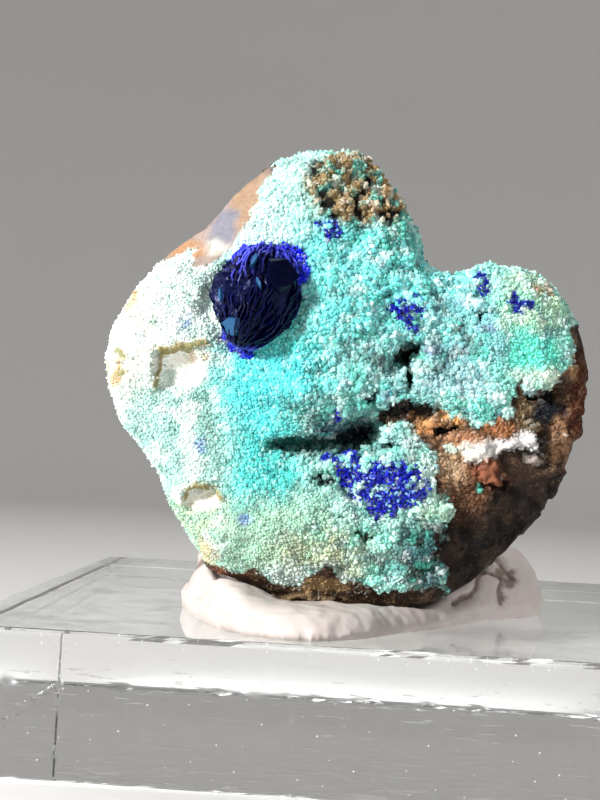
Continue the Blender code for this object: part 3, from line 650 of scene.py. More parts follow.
def depth_inside(points, outline):
    """How far each (x, z) point lies inside the outline, in metres; outside it is negative."""
    start = np.array(outline) * MM
    along = np.roll(start, -1, axis=0) - start
    offset = points[:, None, :] - start[None]
    share = np.clip((offset * along).sum(2) / (along**2).sum(1), 0, 1)
    distance = np.linalg.norm(offset - share[..., None] * along, axis=2).min(1)
    x, z = points[:, 0, None], points[:, 1, None]
    rise = np.where(along[:, 1] == 0, 1e-12, along[:, 1])
    crossed = ((start[:, 1] > z) != (start[:, 1] + along[:, 1] > z)) & (
        x < start[:, 0] + (z - start[:, 1]) * along[:, 0] / rise)
    return np.where(crossed.sum(1) % 2 == 1, distance, -distance)


def patch_share(xz, x, z, half_width, half_height, soft=0.5):
    """1 in the middle of an oval patch, falling to 0 round its edge."""
    away = np.hypot((xz[:, 0] / MM - x) / half_width, (xz[:, 1] / MM - z) / half_height)
    return smooth((1 + soft / 2 - away) / soft)


def bed_of(node, face_depth, spare):
    """A rounded bed that fills the socket of one azurite node up to the stone's face."""
    low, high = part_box(node)
    back = high.y + 0.5 * MM
    front = high.y - face_depth
    half = Vector(((high.x - low.x) / 2 + spare, (back - front) / 2, (high.z - low.z) / 2 + spare))
    middle = Vector(((low.x + high.x) / 2, (back + front) / 2, (low.z + high.z) / 2))
    bm = bmesh.new()
    bmesh.ops.create_icosphere(bm, subdivisions=4, radius=1.0)
    bm.transform(Matrix.LocRotScale(middle, None, half))
    return object_from(node + "_bed", bm)


def joined(name, objects):
    """One mesh from several, still as separate shells."""
    bm = bmesh.new()
    for obj in objects:
        bm.from_mesh(obj.data)
        bpy.data.objects.remove(obj)
    return object_from(name, bm)


def copy_of_node(node):
    bm = bmesh.new()
    bm.from_mesh(frame["nodes"][node].data)
    bmesh.ops.remove_doubles(bm, verts=bm.verts, dist=0.002 * MM)
    return object_from(node + "_copy", bm)


def even_cells(obj, cell, rounds):
    """Rebuilds the surface as even cells and smooths it."""
    remesh = obj.modifiers.new("even cells", "REMESH")
    remesh.mode = "VOXEL"
    remesh.voxel_size = cell
    relax = obj.modifiers.new("relax", "SMOOTH")
    relax.factor = 0.5
    relax.iterations = rounds
    return bake(obj)


def crust_share(points, normals):
    """1 where the crust covers the stone: the face and its rims, apart from the bare regions."""
    warp = 0.55 * MM * np.column_stack([fractal(points, 1.3 * MM), fractal(points, 1.3 * MM, shift=9.0)])
    xz = points[:, [0, 2]] + warp
    bare = np.max([depth_inside(xz, edge) for edge in (BARE_SIDE, BARE_FOOT, BARE_SHOULDER)], axis=0)
    front = smooth((0.62 - normals[:, 1] + 0.35 * fractal(points, 3.0 * MM)) / 0.5)
    left = smooth((-points[:, 0] / MM - 9.0) / 3.0)
    sunk = np.max([patch_share(xz, *patch) for patch in CRUSTED_HOLLOWS], axis=0) * (points[:, 1] < -11 * MM)
    front = np.maximum(smooth(front * (0.8 + 0.5 * left)), sunk)
    return smooth(0.5 - bare / (0.4 * MM)) * front


def warped(points, size, reach, shift):
    """The (x, z) of each point, moved about by noise so that a region's edge is ragged."""
    moved = np.column_stack([fractal(points, size, 4, shift), fractal(points, size, 4, shift + 4)])
    return points[:, [0, 2]] + reach * moved


def blended(colour, code, share):
    """The colours moved towards the named one, by a share for each point."""
    return colour + (np.array(linear(code)) - colour) * share[:, None]


def painted(points, crust, facing, side):
    """The colour of each point, from the named regions of the face."""
    settings = bpy.context.scene.azurite_stone
    xz = warped(points, 0.9 * MM, 0.5 * MM, 3.0)
    clear = facing * (1 - 0.8 * side * smooth((fractal(points, 1.6 * MM, 3, 71.0) + 0.2) / 0.3))
    layers = []
    for base, rows in ((settings.crust_colour, CRUST_COLOURS), (settings.bare_colour, STONE_COLOURS)):
        colour = np.tile(np.array(base), (len(points), 1))
        for _, x, z, half_width, half_height, code, strength in rows:
            share = strength * patch_share(xz, x, z, half_width, half_height, 0.9) * clear
            colour = blended(colour, code, share)
        layers.append(colour)
    layers[0] = mottled_crust(points, layers[0])
    stained = 0.5 * patch_share(xz, 9.6, 13.5, 5.0, 4.6) * smooth((fractal(points, 1.4 * MM, 4, 31.0) - 0.05) / 0.3)
    layers[1] = blended(layers[1], "#38281E", stained * facing)
    behind = 1 - facing
    layers[1] = blended(layers[1], "#7A4A24", 0.75 * behind * smooth((fractal(points, 2.4 * MM, 4, 5.0)) / 0.35))
    layers[1] = blended(layers[1], "#A98E6A", 0.7 * behind * smooth((fractal(points, 1.7 * MM, 4, 8.0) - 0.25) / 0.2))
    return layers[1] + (layers[0] - layers[1]) * smooth((crust - 0.35) / 0.3)[:, None]


def mottled_crust(points, colour):
    """Clumps of greyer, greener and whiter crust, some of them right and some left of the rosette."""
    right = smooth((points[:, 0] / MM + 5.0) / 6.0)
    left = smooth((-points[:, 0] / MM - 5.8) / 2.0)
    for code, size, shift, start, share, side in (
        ("#4E8F90", 0.9 * MM, 41.0, 0.08, 0.5, right), ("#57D6BE", 1.1 * MM, 43.0, 0.15, 0.4, right),
        ("#E4F1EE", 0.7 * MM, 47.0, 0.2, 0.5, right), ("#7E8FA6", 0.6 * MM, 53.0, 0.3, 0.35, right),
        ("#FBFFFC", 1.3 * MM, 59.0, 0.0, 0.6, left), ("#7FA99F", 0.8 * MM, 61.0, 0.12, 0.45, left),
    ):
        colour = blended(colour, code, share * side * smooth((fractal(points, size, 3, shift) - start) / 0.2))
    return colour


def shape_stone(stone):
    """Gives the stone its relief, and keeps what the finishes and the scattered grains need at each point."""
    settings = bpy.context.scene.azurite_stone
    mesh = stone.data
    points, normals = points_of(mesh), points_of(mesh, "normal")
    facing = smooth((0.5 - normals[:, 1]) / 0.4)
    xz = warped(points, 0.7 * MM, 0.22 * MM, 12.0)
    ragged = warped(points, 0.9 * MM, 0.5 * MM, 21.0)
    crust = crust_share(points, normals)
    rough = patch_share(warped(points, 1.2 * MM, 0.5 * MM, 2.0), *ROUGH_TOP, 0.35) * facing
    covered = crust * (1 - rough)
    lumps, gaps = crust_lumps(points)
    calm = np.max([patch_share(xz, *patch) for patch in CAST_FLOORS], axis=0) * facing
    left = smooth((-points[:, 0] / MM - 6.0) / 4.0)
    right = smooth((points[:, 0] / MM + 3.0) / 5.0)
    lobe = patch_share(xz, 10.3, 25.6, 2.8, 3.6, 0.8) * facing
    lumps = lumps * (1 - 0.5 * left + 0.35 * right) * (1 - 0.8 * calm) * (1 - 0.4 * lobe)
    gaps = gaps * (1 - 0.5 * left) * (1 - calm) * (1 - 0.5 * lobe)
    blocks, seams = bare_relief(points)
    holes, top = rough_top_relief(points)
    rise = covered * lumps + (1 - crust) * blocks + rough * top
    tint = painted(points, crust, facing, smooth((normals[:, 1] + 0.4) / 0.3))
    tint = paint_rough_top(points, tint, rough, holes)
    # Painted shade: the colour is darkened in the gaps between the crust's lumps, in the rough top's holes and in the
    # bare stone's seams
    cavity = np.maximum.reduce([(0.75 + 0.2 * right) * covered * gaps, 0.95 * rough * holes, 0.6 * (1 - crust) * seams])
    crumbs, crusts = np.zeros(len(points)), np.zeros(len(points))
    bubbles = 1 - np.clip(1.35 * cells(points, 0.38 * MM)[0], 0, 1) ** 2
    for _, x, z, half_width, half_height, height, code in BARE_PATCHES:
        share = patch_share(ragged, x, z, half_width, half_height, 0.35) * facing
        crusts = np.maximum(crusts, share)
        rise += (height + 0.25 * bubbles) * MM * share
        crust = crust * (1 - share)
        # Painted shade between the crust's bubbles
        cavity += (0.4 * (1 - bubbles) - cavity) * share
        tint = blended(tint, code, share)
    for height, half_width, line in CAST_WALLS:
        wall = smooth(1.6 - near_line(xz, line) / (half_width * MM)) * facing
        rise = np.maximum(rise, height * MM * wall)
        covered *= 1 - wall
        cavity *= 1 - wall
        tint = blended(tint, CAST_WALL_COLOUR, wall)
    sunk = np.zeros(len(points))
    # Each hollow is sunk in and painted with shade, as dark as its last column says
    for _, x, z, half_width, half_height, depth, black in HOLLOWS:
        share = patch_share(ragged, x, z, half_width, half_height, 0.6) * facing
        sunk = np.maximum(sunk, depth * MM * share)
        cavity = np.maximum(cavity, 1.3 * black * share)
    covered *= 1 - 0.9 * smooth(cavity / 1.25 - 0.35)
    for _, x, z, half_width, half_height in CRUMBLED:
        crumbs = np.maximum(crumbs, patch_share(xz, x, z, half_width, half_height) * (1 - crust) * facing)
    crumbs *= 1 - crusts
    shoulder = patch_share(xz, -8.0, 31.0, 5.0, 5.0)
    dark_side = patch_share(xz, 9.6, 13.0, 5.4, 4.6)
    inward = np.array([0.0, 1.0, 0.0])
    moved = points + normals * (rise - settings.inset * crust)[:, None] + inward * sunk[:, None]
    move_points(mesh, moved)
    taken = np.zeros(len(points))
    between = smooth((fractal(points, 0.4 * MM, 3, 40.0) + 0.42) / 0.2)
    for piece, node, patches in AZURITE_PATCHES:
        near = smooth((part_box(node)[1].y + MM - points[:, 1]) / (0.5 * MM)) * facing * between
        share = np.max([patch_share(ragged, *patch, 0.3) for patch in patches], axis=0) * near
        store(mesh, piece, share)
        taken = np.maximum(taken, share)
    fringe = np.max([patch_share(xz, *patch, 0.3) for patch in ROSETTE_FRINGES], axis=0) * facing
    taken = np.maximum(taken, fringe)
    store(mesh, "fringe", fringe)
    store(mesh, "tint", blended(tint, "#10157A", smooth(2 * taken)))
    store(mesh, "cavity", cavity * (1 - taken))
    store(mesh, "crust", crust * (1 - 0.8 * rough))
    store(mesh, "grains", covered * (1 - taken))
    store(mesh, "shards", rough * (1 - 0.9 * holes))
    store(mesh, "crumbs", crumbs)
    mottling = patch_share(xz, 4.9, 12.5, 1.4, 2.2)
    plain = 0.75 * shoulder + 0.8 * dark_side + 0.9 * calm + 0.4 * crusts + 0.7 * mottling + 0.4 * rough
    plain += 0.6 * lobe + 0.5 * crumbs
    store(mesh, "speckle", np.clip(1 - plain, 0.05, 1))
    finer = 0.25 * patch_share(xz, -2.0, 12.5, 6.0, 3.5)
    store(mesh, "coarse", (0.6 + 0.55 * smooth((points[:, 0] / MM + 9) / 10)) * (1 - 0.3 * calm - finer - 0.3 * lobe))


def crust_lumps(points):
    """Height of the crust's rounded lumps, and where the gaps between them are."""
    settings = bpy.context.scene.azurite_stone
    near, _ = cells(points, settings.lump_size)
    small_near, _ = cells(points, 0.42 * settings.lump_size)
    large = 1 - np.clip(near * 1.25, 0, 1) ** 2
    small = 1 - np.clip(small_near * 1.25, 0, 1) ** 2
    height = settings.lump_height * ((large - 0.6) + 0.4 * (small - 0.5) + 0.35 * fractal(points, 2.5 * MM, 2, 15.0))
    return height, np.clip(1.1 - large - 0.3 * small, 0, 1)


def bare_relief(points):
    """Height of the bare stone's blocks, and where the seams between them are."""
    settings = bpy.context.scene.azurite_stone
    near, second = cells(points, 1.5 * MM)
    blocks = smooth((second - near) / 0.25)
    broken = fractal(points, 1.6 * MM, 5, 11.0)
    crumbly = smooth((22.5 * MM - points[:, 2]) / (2 * MM)) * smooth((points[:, 2] - 14.5 * MM) / (2 * MM))
    strength = settings.rough_height * (0.75 + 1.0 * crumbly * smooth((points[:, 0] - 3 * MM) / (2 * MM)))
    return strength * (0.9 * broken + 0.5 * (blocks - 0.7)), (1 - blocks) * 0.6


def rough_top_relief(points):
    """Where the rough top's holes are, and its height."""
    bent = points + 0.3 * MM * np.column_stack([fractal(points, 0.8 * MM, 3, shift) for shift in (1.0, 2.0, 3.0)])
    near, second = cells(bent, 0.95 * MM)
    holes = smooth((0.46 - near + 0.25 * fractal(points, 1.3 * MM, 2, 27.0)) / 0.18)
    ridges = smooth((0.2 - (second - near)) / 0.14)
    return holes, MM * (-0.9 * holes + 0.35 * ridges + 0.3 * fractal(points, 0.5 * MM, 4, 1.0))


def paint_rough_top(points, tint, rough, holes):
    """Black painted shade in the holes, tan, teal and white on the walls between them."""
    teal = smooth((fractal(points, 0.7 * MM, 3, 6.0) - 0.05) / 0.2)
    right = smooth((points[:, 0] / MM - 0.2) / 1.5)
    pale = smooth((fractal(points, 0.5 * MM, 3, 16.0) - 0.15) / 0.15)
    wall = blended(np.tile(linear("#8F7A55"), (len(points), 1)), "#63AC9E", teal)
    wall = blended(wall, "#C49A62", 0.6 * right * (1 - teal))
    wall = blended(wall, "#E6DFD0", 0.6 * pale)
    # Painted shade: the holes are painted black
    wall = blended(wall, "#15100C", holes)
    return tint + (wall - tint) * rough[:, None]


def near_line(xz, line):
    """Distance of each point from a line through the given points."""
    best = np.full(len(xz), 1.0)
    for start, end in zip(line, line[1:]):
        start, along = np.array(start) * MM, (np.array(end) - np.array(start)) * MM
        share = np.clip(((xz - start) @ along) / (along @ along), 0, 1)
        best = np.minimum(best, np.linalg.norm(xz - start - share[:, None] * along, axis=1))
    return best


def build_stone():
    """The stone's own surface: a copy of the packed stone with its sockets filled, then given its relief."""
    settings = bpy.context.scene.azurite_stone
    beds = [bed_of(node, 0.8 * MM, 0.5 * MM) for _, node, _ in AZURITE_PATCHES]
    beds.append(bed_of("azurite_rosette", 3.1 * MM, MM))
    stone = joined("stone", [copy_of_node("matrix"), *beds])
    even_cells(stone, 1.6 * settings.cell, 8)
    even_cells(stone, settings.cell, 3)
    shape_stone(stone)
    stone.data.materials.append(stone_material())
    stone.data.polygons.foreach_set("use_smooth", [True] * len(stone.data.polygons))
    return stone


def grain_shapes(collection):
    """Small grains with twenty uneven faces, one unit in radius."""
    for number in range(5):
        bm = bmesh.new()
        bmesh.ops.create_icosphere(bm, subdivisions=1, radius=1.0)
        for vertex in bm.verts:
            vertex.co *= 1 + 0.45 * noise.noise(vertex.co * 1.5 + Vector((9.0 * number, 0, 0)))
        keep_shape(f"grain_{number}", bm, collection)


def crystal_shapes(collection):
    """Short crystals with flat faces: a slanted prism that ends in a wedge, about one unit in radius."""
    rng = random.Random(8)
    for number in range(5):
        bm = bmesh.new()
        sides = rng.choice((4, 5, 6))
        bmesh.ops.create_cone(bm, cap_ends=True, segments=sides, radius1=0.8, radius2=0.4, depth=1.9)
        slant = Matrix.Shear("XY", 4, (rng.uniform(-0.3, 0.3), rng.uniform(-0.3, 0.3)))
        flat = Matrix.Diagonal((1.0, rng.uniform(0.5, 1.0), rng.uniform(0.8, 1.2), 1.0))
        bm.transform(slant @ flat)
        keep_shape(f"crystal_{number}", bm, collection)


def shard_shapes(collection):
    """Ragged crumbs of stone."""
    rng = random.Random(5)
    for number in range(5):
        bm = bmesh.new()
        bmesh.ops.create_icosphere(bm, subdivisions=1, radius=1.0)
        for vertex in bm.verts:
            vertex.co *= rng.uniform(0.5, 1.4)
        bm.transform(Matrix.Diagonal((1.0, rng.uniform(0.7, 1.0), rng.uniform(0.5, 0.8), 1.0)))
        keep_shape(f"shard_{number}", bm, collection)


def blade_shapes(collection):
    """Thin, wavy tabular crystals with a stepped rim, facing along X, one unit in radius."""
    rng = random.Random(31)
    for number in range(7):
        bm = bmesh.new()
        count = 48
        bmesh.ops.create_cone(bm, cap_ends=True, cap_tris=True, segments=count, radius1=1.0, radius2=1.0,
                              depth=1.0, matrix=Matrix.Rotation(math.pi / 2, 4, "Y"))
        steps = []
        while len(steps) < count:
            steps += [rng.uniform(0.84, 1.0)] * rng.choice((1, 1, 1, 2, 2))
        # The rim marks where the blade material paints a bright highlight
        rim = bm.verts.layers.float.new("rim")
        for vertex in bm.verts:
            centre = math.hypot(vertex.co.y, vertex.co.z) < 0.5
            vertex[rim] = 0.0 if centre else 1.0
            turn = math.atan2(vertex.co.z, vertex.co.y) / math.tau % 1
            reach = steps[int(turn * count + 0.5) % count]
            vertex.co.y *= reach
            vertex.co.z *= reach
        phase = rng.uniform(0, 6)
        for vertex in bm.verts:
            wave = math.sin(phase + 3.2 * vertex.co.z) + 0.8 * math.sin(phase + 13.0 * vertex.co.z)
            vertex.co.x += 1.3 * wave * abs(vertex.co.y)
        keep_shape(f"blade_{number}", bm, collection)


def keep_shape(name, bm, collection):
    bmesh.ops.recalc_face_normals(bm, faces=bm.faces)
    made = object_from(name, bm)
    bpy.context.scene.collection.objects.unlink(made)
    collection.objects.link(made)


def shapes(name, maker):
    """A collection of the shapes that a Geometry Nodes tree picks from."""
    found = bpy.data.collections.get(name)
    if not found:
        found = bpy.data.collections.new(name)
        maker(found)
    return found


def drop_shapes():
    for collection in list(bpy.data.collections):
        for obj in list(collection.objects):
            bpy.data.objects.remove(obj)
        bpy.data.collections.remove(collection)


def random_number(tree, low, high, seed, salt, kind="FLOAT"):
    """A random number or vector for each point, from the tree's seed and a number of its own."""
    first = {"FLOAT_VECTOR": 0, "FLOAT": 2, "INT": 4}[kind]
    inputs = {first: low, first + 1: high, "Seed": maths(tree, "ADD", seed, salt)}
    node = put(tree, "FunctionNodeRandomValue", inputs, data_type=kind)
    return [output for output in node.outputs if output.enabled][0]


def finished(tree, geometry, material, seed, flat):
    """Gives each instance its own number, then makes them real and sets their finish."""
    own = random_number(tree, 0.0, 1.0, seed, 50)
    numbered = put(tree, "GeometryNodeStoreNamedAttribute",
                   {"Geometry": geometry, "Name": "grain_number", "Value": own}, domain="INSTANCE")
    real = put(tree, "GeometryNodeRealizeInstances", {"Geometry": numbered.outputs[0]}).outputs[0]
    shaded = put(tree, "GeometryNodeSetShadeSmooth", {0: real, "Shade Smooth": not flat}).outputs[0]
    covered = put(tree, "GeometryNodeSetMaterial", {"Geometry": shaded, "Material": material}).outputs[0]
    put(tree, "NodeGroupOutput", {0: covered})


def scatter_tree():
    """Scatters shapes over the part of a surface that a mask names, between two heights."""
    tree = bpy.data.node_groups.get("scatter")
    if tree:
        return tree
    tree = bpy.data.node_groups.new("scatter", "GeometryNodeTree")
    socket(tree, "Surface", "NodeSocketGeometry")
    socket(tree, "Shapes", "NodeSocketCollection")
    socket(tree, "Mask", "NodeSocketString")
    socket(tree, "Spacing", "NodeSocketFloat", 0.2 * MM)
    socket(tree, "Size", "NodeSocketFloat", 0.17 * MM)
    socket(tree, "Size spread", "NodeSocketFloat", 0.35)
    socket(tree, "Tilt", "NodeSocketFloat", 3.2)
    socket(tree, "Lowest", "NodeSocketFloat", -1.0)
    socket(tree, "Highest", "NodeSocketFloat", 1.0)
    socket(tree, "Seed", "NodeSocketInt", 1)
    socket(tree, "Material", "NodeSocketMaterial")
    socket(tree, "Geometry", "NodeSocketGeometry", out=True)
    given = put(tree, "NodeGroupInput").outputs
    mask = put(tree, "GeometryNodeInputNamedAttribute", {"Name": given["Mask"]}, data_type="FLOAT").outputs[0]
    place = put(tree, "GeometryNodeInputPosition").outputs[0]
    height = put(tree, "ShaderNodeSeparateXYZ", {0: place}).outputs["Z"]
    above = put(tree, "FunctionNodeCompare", {0: height, 1: given["Lowest"]}, operation="GREATER_EQUAL")
    below = put(tree, "FunctionNodeCompare", {0: height, 1: given["Highest"]}, operation="LESS_THAN")
    between = put(tree, "FunctionNodeBooleanMath", {0: above.outputs[0], 1: below.outputs[0]}, operation="AND")
    points = put(tree, "GeometryNodeDistributePointsOnFaces", {
        "Mesh": given["Surface"], "Selection": between.outputs[0], "Distance Min": given["Spacing"],
        "Density Max": 2.2e8, "Density Factor": mask, "Seed": given["Seed"]}, distribute_method="POISSON")
    picked = put(tree, "GeometryNodeCollectionInfo", {
        "Collection": given["Shapes"], "Separate Children": True, "Reset Children": True})
    seed = given["Seed"]
    tilt = put(tree, "ShaderNodeVectorMath", {
        0: random_number(tree, (-1, -1, -3), (1, 1, 3), seed, 1, "FLOAT_VECTOR"),
        "Scale": given["Tilt"]}, operation="SCALE").outputs[0]
    turned = put(tree, "FunctionNodeRotateRotation", {0: points.outputs["Rotation"], 1: tilt}, rotation_space="LOCAL")
    smaller = maths(tree, "SUBTRACT", 1.0, given["Size spread"])
    larger = maths(tree, "ADD", 1.0, given["Size spread"])
    coarse = put(tree, "GeometryNodeInputNamedAttribute", {"Name": "coarse"}, data_type="FLOAT").outputs[0]
    own_size = maths(tree, "MULTIPLY", random_number(tree, smaller, larger, seed, 2), coarse)
    size = maths(tree, "MULTIPLY", own_size, given["Size"])
    placed = put(tree, "GeometryNodeInstanceOnPoints", {
        "Points": points.outputs["Points"], "Instance": picked.outputs[0], "Pick Instance": True,
        "Rotation": turned.outputs[0], "Scale": size,
        "Instance Index": random_number(tree, 0, 4, seed, 3, "INT")})
    finished(tree, placed.outputs[0], given["Material"], seed, True)
    return tree


def fan_tree():
    """Blades on a fan round an upright spine, which is then leaned, tilted and moved into place."""
    tree = bpy.data.node_groups.new("fan", "GeometryNodeTree")
    socket(tree, "Geometry", "NodeSocketGeometry")
    socket(tree, "Shapes", "NodeSocketCollection")
    socket(tree, "Blades", "NodeSocketInt", 40)
    socket(tree, "Spread", "NodeSocketFloat", 2.8)
    socket(tree, "Start", "NodeSocketFloat", 0.0)
    socket(tree, "Reach", "NodeSocketFloat", 2.8 * MM)
    socket(tree, "Thickness", "NodeSocketFloat", 0.1 * MM)
    socket(tree, "Lean", "NodeSocketFloat", 0.3)
    socket(tree, "Spine tilt", "NodeSocketFloat", 0.6)
    socket(tree, "Middle", "NodeSocketVector")
    socket(tree, "Seed", "NodeSocketInt", 1)
    socket(tree, "Material", "NodeSocketMaterial")
    socket(tree, "Geometry", "NodeSocketGeometry", out=True)
    given = put(tree, "NodeGroupInput").outputs
    seed = given["Seed"]
    index = put(tree, "GeometryNodeInputIndex").outputs[0]
    last = maths(tree, "SUBTRACT", given["Blades"], 1.0)
    share = maths(tree, "SUBTRACT", maths(tree, "DIVIDE", index, last), 0.5)
    even = maths(tree, "MULTIPLY_ADD", share, given["Spread"], given["Start"])
    turn = maths(tree, "ADD", even, random_number(tree, -0.05, 0.05, seed, 1))
    left = maths(tree, "MAXIMUM", maths(tree, "MULTIPLY", share, -1.0), 0.0)
    shorter = maths(tree, "MULTIPLY_ADD", left, -0.4, 1.0)
    varied = maths(tree, "MULTIPLY", shorter, random_number(tree, 0.91, 1.03, seed, 2))
    shift = random_number(tree, -0.3, 0.3, seed, 3)
    off = maths(tree, "ABSOLUTE", shift)
    varied = maths(tree, "MULTIPLY", varied, maths(tree, "MULTIPLY_ADD", off, -0.25, 1.0))
    reach = maths(tree, "MULTIPLY", varied, given["Reach"])
    out = maths(tree, "MULTIPLY", reach, 0.2)
    tall = maths(tree, "MULTIPLY", maths(tree, "SUBTRACT", 1.06, off), given["Reach"])
    place = put(tree, "ShaderNodeCombineXYZ", {
        0: maths(tree, "MULTIPLY", maths(tree, "SINE", turn), out),
        1: maths(tree, "MULTIPLY", maths(tree, "MULTIPLY", maths(tree, "COSINE", turn), out), -1.0),
        2: maths(tree, "MULTIPLY", shift, given["Reach"])}).outputs[0]
    rotation = put(tree, "ShaderNodeCombineXYZ", {
        0: random_number(tree, -0.3, 0.3, seed, 4), 1: random_number(tree, -0.09, 0.09, seed, 5), 2: turn}).outputs[0]
    thick = maths(tree, "MULTIPLY", given["Thickness"], random_number(tree, 0.6, 1.5, seed, 6))
    scale = put(tree, "ShaderNodeCombineXYZ", {
        0: thick, 1: maths(tree, "MULTIPLY", reach, 0.82), 2: tall}).outputs[0]
    points = put(tree, "GeometryNodePoints", {"Count": given["Blades"], "Position": place}).outputs[0]
    picked = put(tree, "GeometryNodeCollectionInfo", {
        "Collection": given["Shapes"], "Separate Children": True, "Reset Children": True})
    placed = put(tree, "GeometryNodeInstanceOnPoints", {
        "Points": points, "Instance": picked.outputs[0], "Pick Instance": True,
        "Instance Index": random_number(tree, 0, 6, seed, 7, "INT"), "Rotation": rotation, "Scale": scale})
    tilted = put(tree, "ShaderNodeCombineXYZ", {0: maths(tree, "MULTIPLY", given["Spine tilt"], -1.0),
                                                1: given["Lean"]}).outputs[0]
    moved = put(tree, "GeometryNodeTransform", {
        "Geometry": placed.outputs[0], "Translation": given["Middle"], "Rotation": tilted})
    finished(tree, moved.outputs[0], given["Material"], seed, True)
    return tree


def grown(name, surface, tree, **values):
    """Runs a Geometry Nodes tree over a surface and keeps the result as a plain mesh."""
    mesh = surface.data if surface else bpy.data.meshes.new(name)
    made = bpy.data.objects.new(name, mesh)
    bpy.context.scene.collection.objects.link(made)
    modifier = made.modifiers.new(tree.name, "NODES")
    modifier.node_group = tree
    for item in tree.interface.items_tree:
        if item.in_out == "INPUT" and item.name in values:
            modifier[item.identifier] = values[item.name]
    bake(made)
    for unused in [a.name for a in made.data.attributes if a.name.startswith("azurite_")]:
        made.data.attributes.remove(made.data.attributes[unused])
    return made


def add_piece(obj, slot, *nodes):
    """Fixes a finished piece to the part, and hides the packed nodes it stands for."""
    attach(obj, BODY)
    if nodes:
        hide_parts(*nodes)
    return obj


def build_grains(stone):
    """The crust's grains, in bands from the foot up so that each piece stays light."""
    settings = bpy.context.scene.azurite_grains
    low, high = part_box("matrix")
    levels = [low.z - MM, 14.5 * MM, 18.5 * MM, 22.5 * MM, 26.5 * MM, high.z + MM]
    material = grain_material()
    for number, (lowest, highest) in enumerate(zip(levels, levels[1:]), 1):
        for kind, maker, spacing, size, seed in (
            ("round", grain_shapes, settings.spacing, settings.size, settings.seed),
            ("sugary", crystal_shapes, 2.0 * settings.spacing, 1.6 * settings.size, settings.seed + 20),
        ):
            piece = grown(f"{kind}_grains_{number}", stone, scatter_tree(), Shapes=shapes(kind, maker),
                          Mask="grains", Spacing=spacing, Size=size, Lowest=lowest, Highest=highest,
                          Seed=seed, Material=material, Tilt=0.9)
            add_piece(piece, "crusted_stone")


def build_shards(stone):
    """The rough top's shards, and the crumbs of bare stone round the crust's edge."""
    material = grain_material()
    for name, mask, spacing, size, seed in (
        ("rough_top_shards", "shards", 0.2 * MM, 0.13 * MM, 12),
        ("bare_stone_crumbs", "crumbs", 0.2 * MM, 0.15 * MM, 14),
    ):
        piece = grown(name, stone, scatter_tree(), Shapes=shapes("shards", shard_shapes), Mask=mask,
                      Spacing=spacing, Size=size, Seed=seed, Material=material, Tilt=1.0)
        add_piece(piece, "crusted_stone")


def build_azurite_groups(stone):
    settings = bpy.context.scene.azurite_crystals
    blue = azurite_material("azurite", "#0E12A0", "#4452FF", 0.25, dotted=0.6)
    for seed, (piece, node, _) in enumerate(AZURITE_PATCHES, 60):
        made = grown(piece, stone, scatter_tree(), Shapes=shapes("sugary", crystal_shapes), Mask=piece,
                     Spacing=settings.spacing, Size=settings.crystal, Seed=seed, Material=blue, Tilt=0.35)
        add_piece(made, "azurite", node)
    bright = azurite_material("bright azurite", "#161CE4", "#7484FF", 0.25)
    fringe = grown("rosette_fringe", stone, scatter_tree(), Shapes=shapes("sugary", crystal_shapes), Mask="fringe",
                   Spacing=settings.spacing, Size=1.2 * settings.crystal, Seed=90, Material=bright, Tilt=0.3)
    add_piece(fringe, "azurite")


def build_rosette():
    settings = bpy.context.scene.azurite_crystals
    low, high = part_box("azurite_rosette")
    middle = Vector(((low.x + high.x) / 2 - 0.05 * MM, high.y - 2.6 * MM, (low.z + high.z) / 2))
    reach = (high.z - low.z) / 2.04
    dark = azurite_material("dark azurite", "#02042A", "#555AEA", 0.22, 0.19, 0.85, 0.2)
    blades = grown("rosette_blades", None, fan_tree(), Shapes=shapes("blades", blade_shapes),
                   Blades=settings.blades, Spread=settings.spread, Reach=reach, Thickness=0.1 * MM,
                   Lean=settings.lean, Middle=middle, Seed=7, Material=dark,
                   **{"Spine tilt": settings.spine_tilt})
    core = rosette_core(middle, reach)
    core.data.materials.append(dark)
    faces = rosette_faces(middle, reach)
    for piece in (core, blades, faces):
        taper(piece, middle, reach)
    painted_rim_highlights(blades, middle, reach)
    add_piece(core, "dark_azurite")
    add_piece(faces, "dark_azurite")
    add_piece(blades, "dark_azurite", "azurite_rosette")


def taper(piece, middle, reach):
    """Draws the rosette out along its leaning axis, and narrows it towards its foot."""
    lean = bpy.context.scene.azurite_crystals.lean
    axis = np.array([math.sin(lean), 0.0, math.cos(lean)])
    offset = points_of(piece.data) - np.array(middle)
    along = offset @ axis
    across = offset - along[:, None] * axis
    across[:, 0] *= 1 - 0.34 * smooth((0.1 - along / reach) / 1.2)
    along *= 1.12 - 0.1 * smooth(-along / reach)
    move_points(piece.data, np.array(middle) + along[:, None] * axis + across)


def painted_rim_highlights(blades, middle, reach):
    """Leaves the blades' painted rim highlights only towards the upper left, the side the key light comes from, and
    round the outside.
    """
    offset = (points_of(blades.data) - np.array(middle)) / reach
    upper_left = smooth(0.35 + 0.65 * (0.6 * offset[:, 2] - 0.75 * offset[:, 0]))
    outside = smooth((np.hypot(offset[:, 0], offset[:, 2]) - 0.75) / 0.3)
    data = blades.data.attributes["rim"].data
    rim = np.empty(len(data), np.float32)
    data.foreach_get("value", rim)
    data.foreach_set("value", (rim * (0.5 + 0.5 * np.maximum(upper_left, 0.85 * outside))).astype(np.float32))


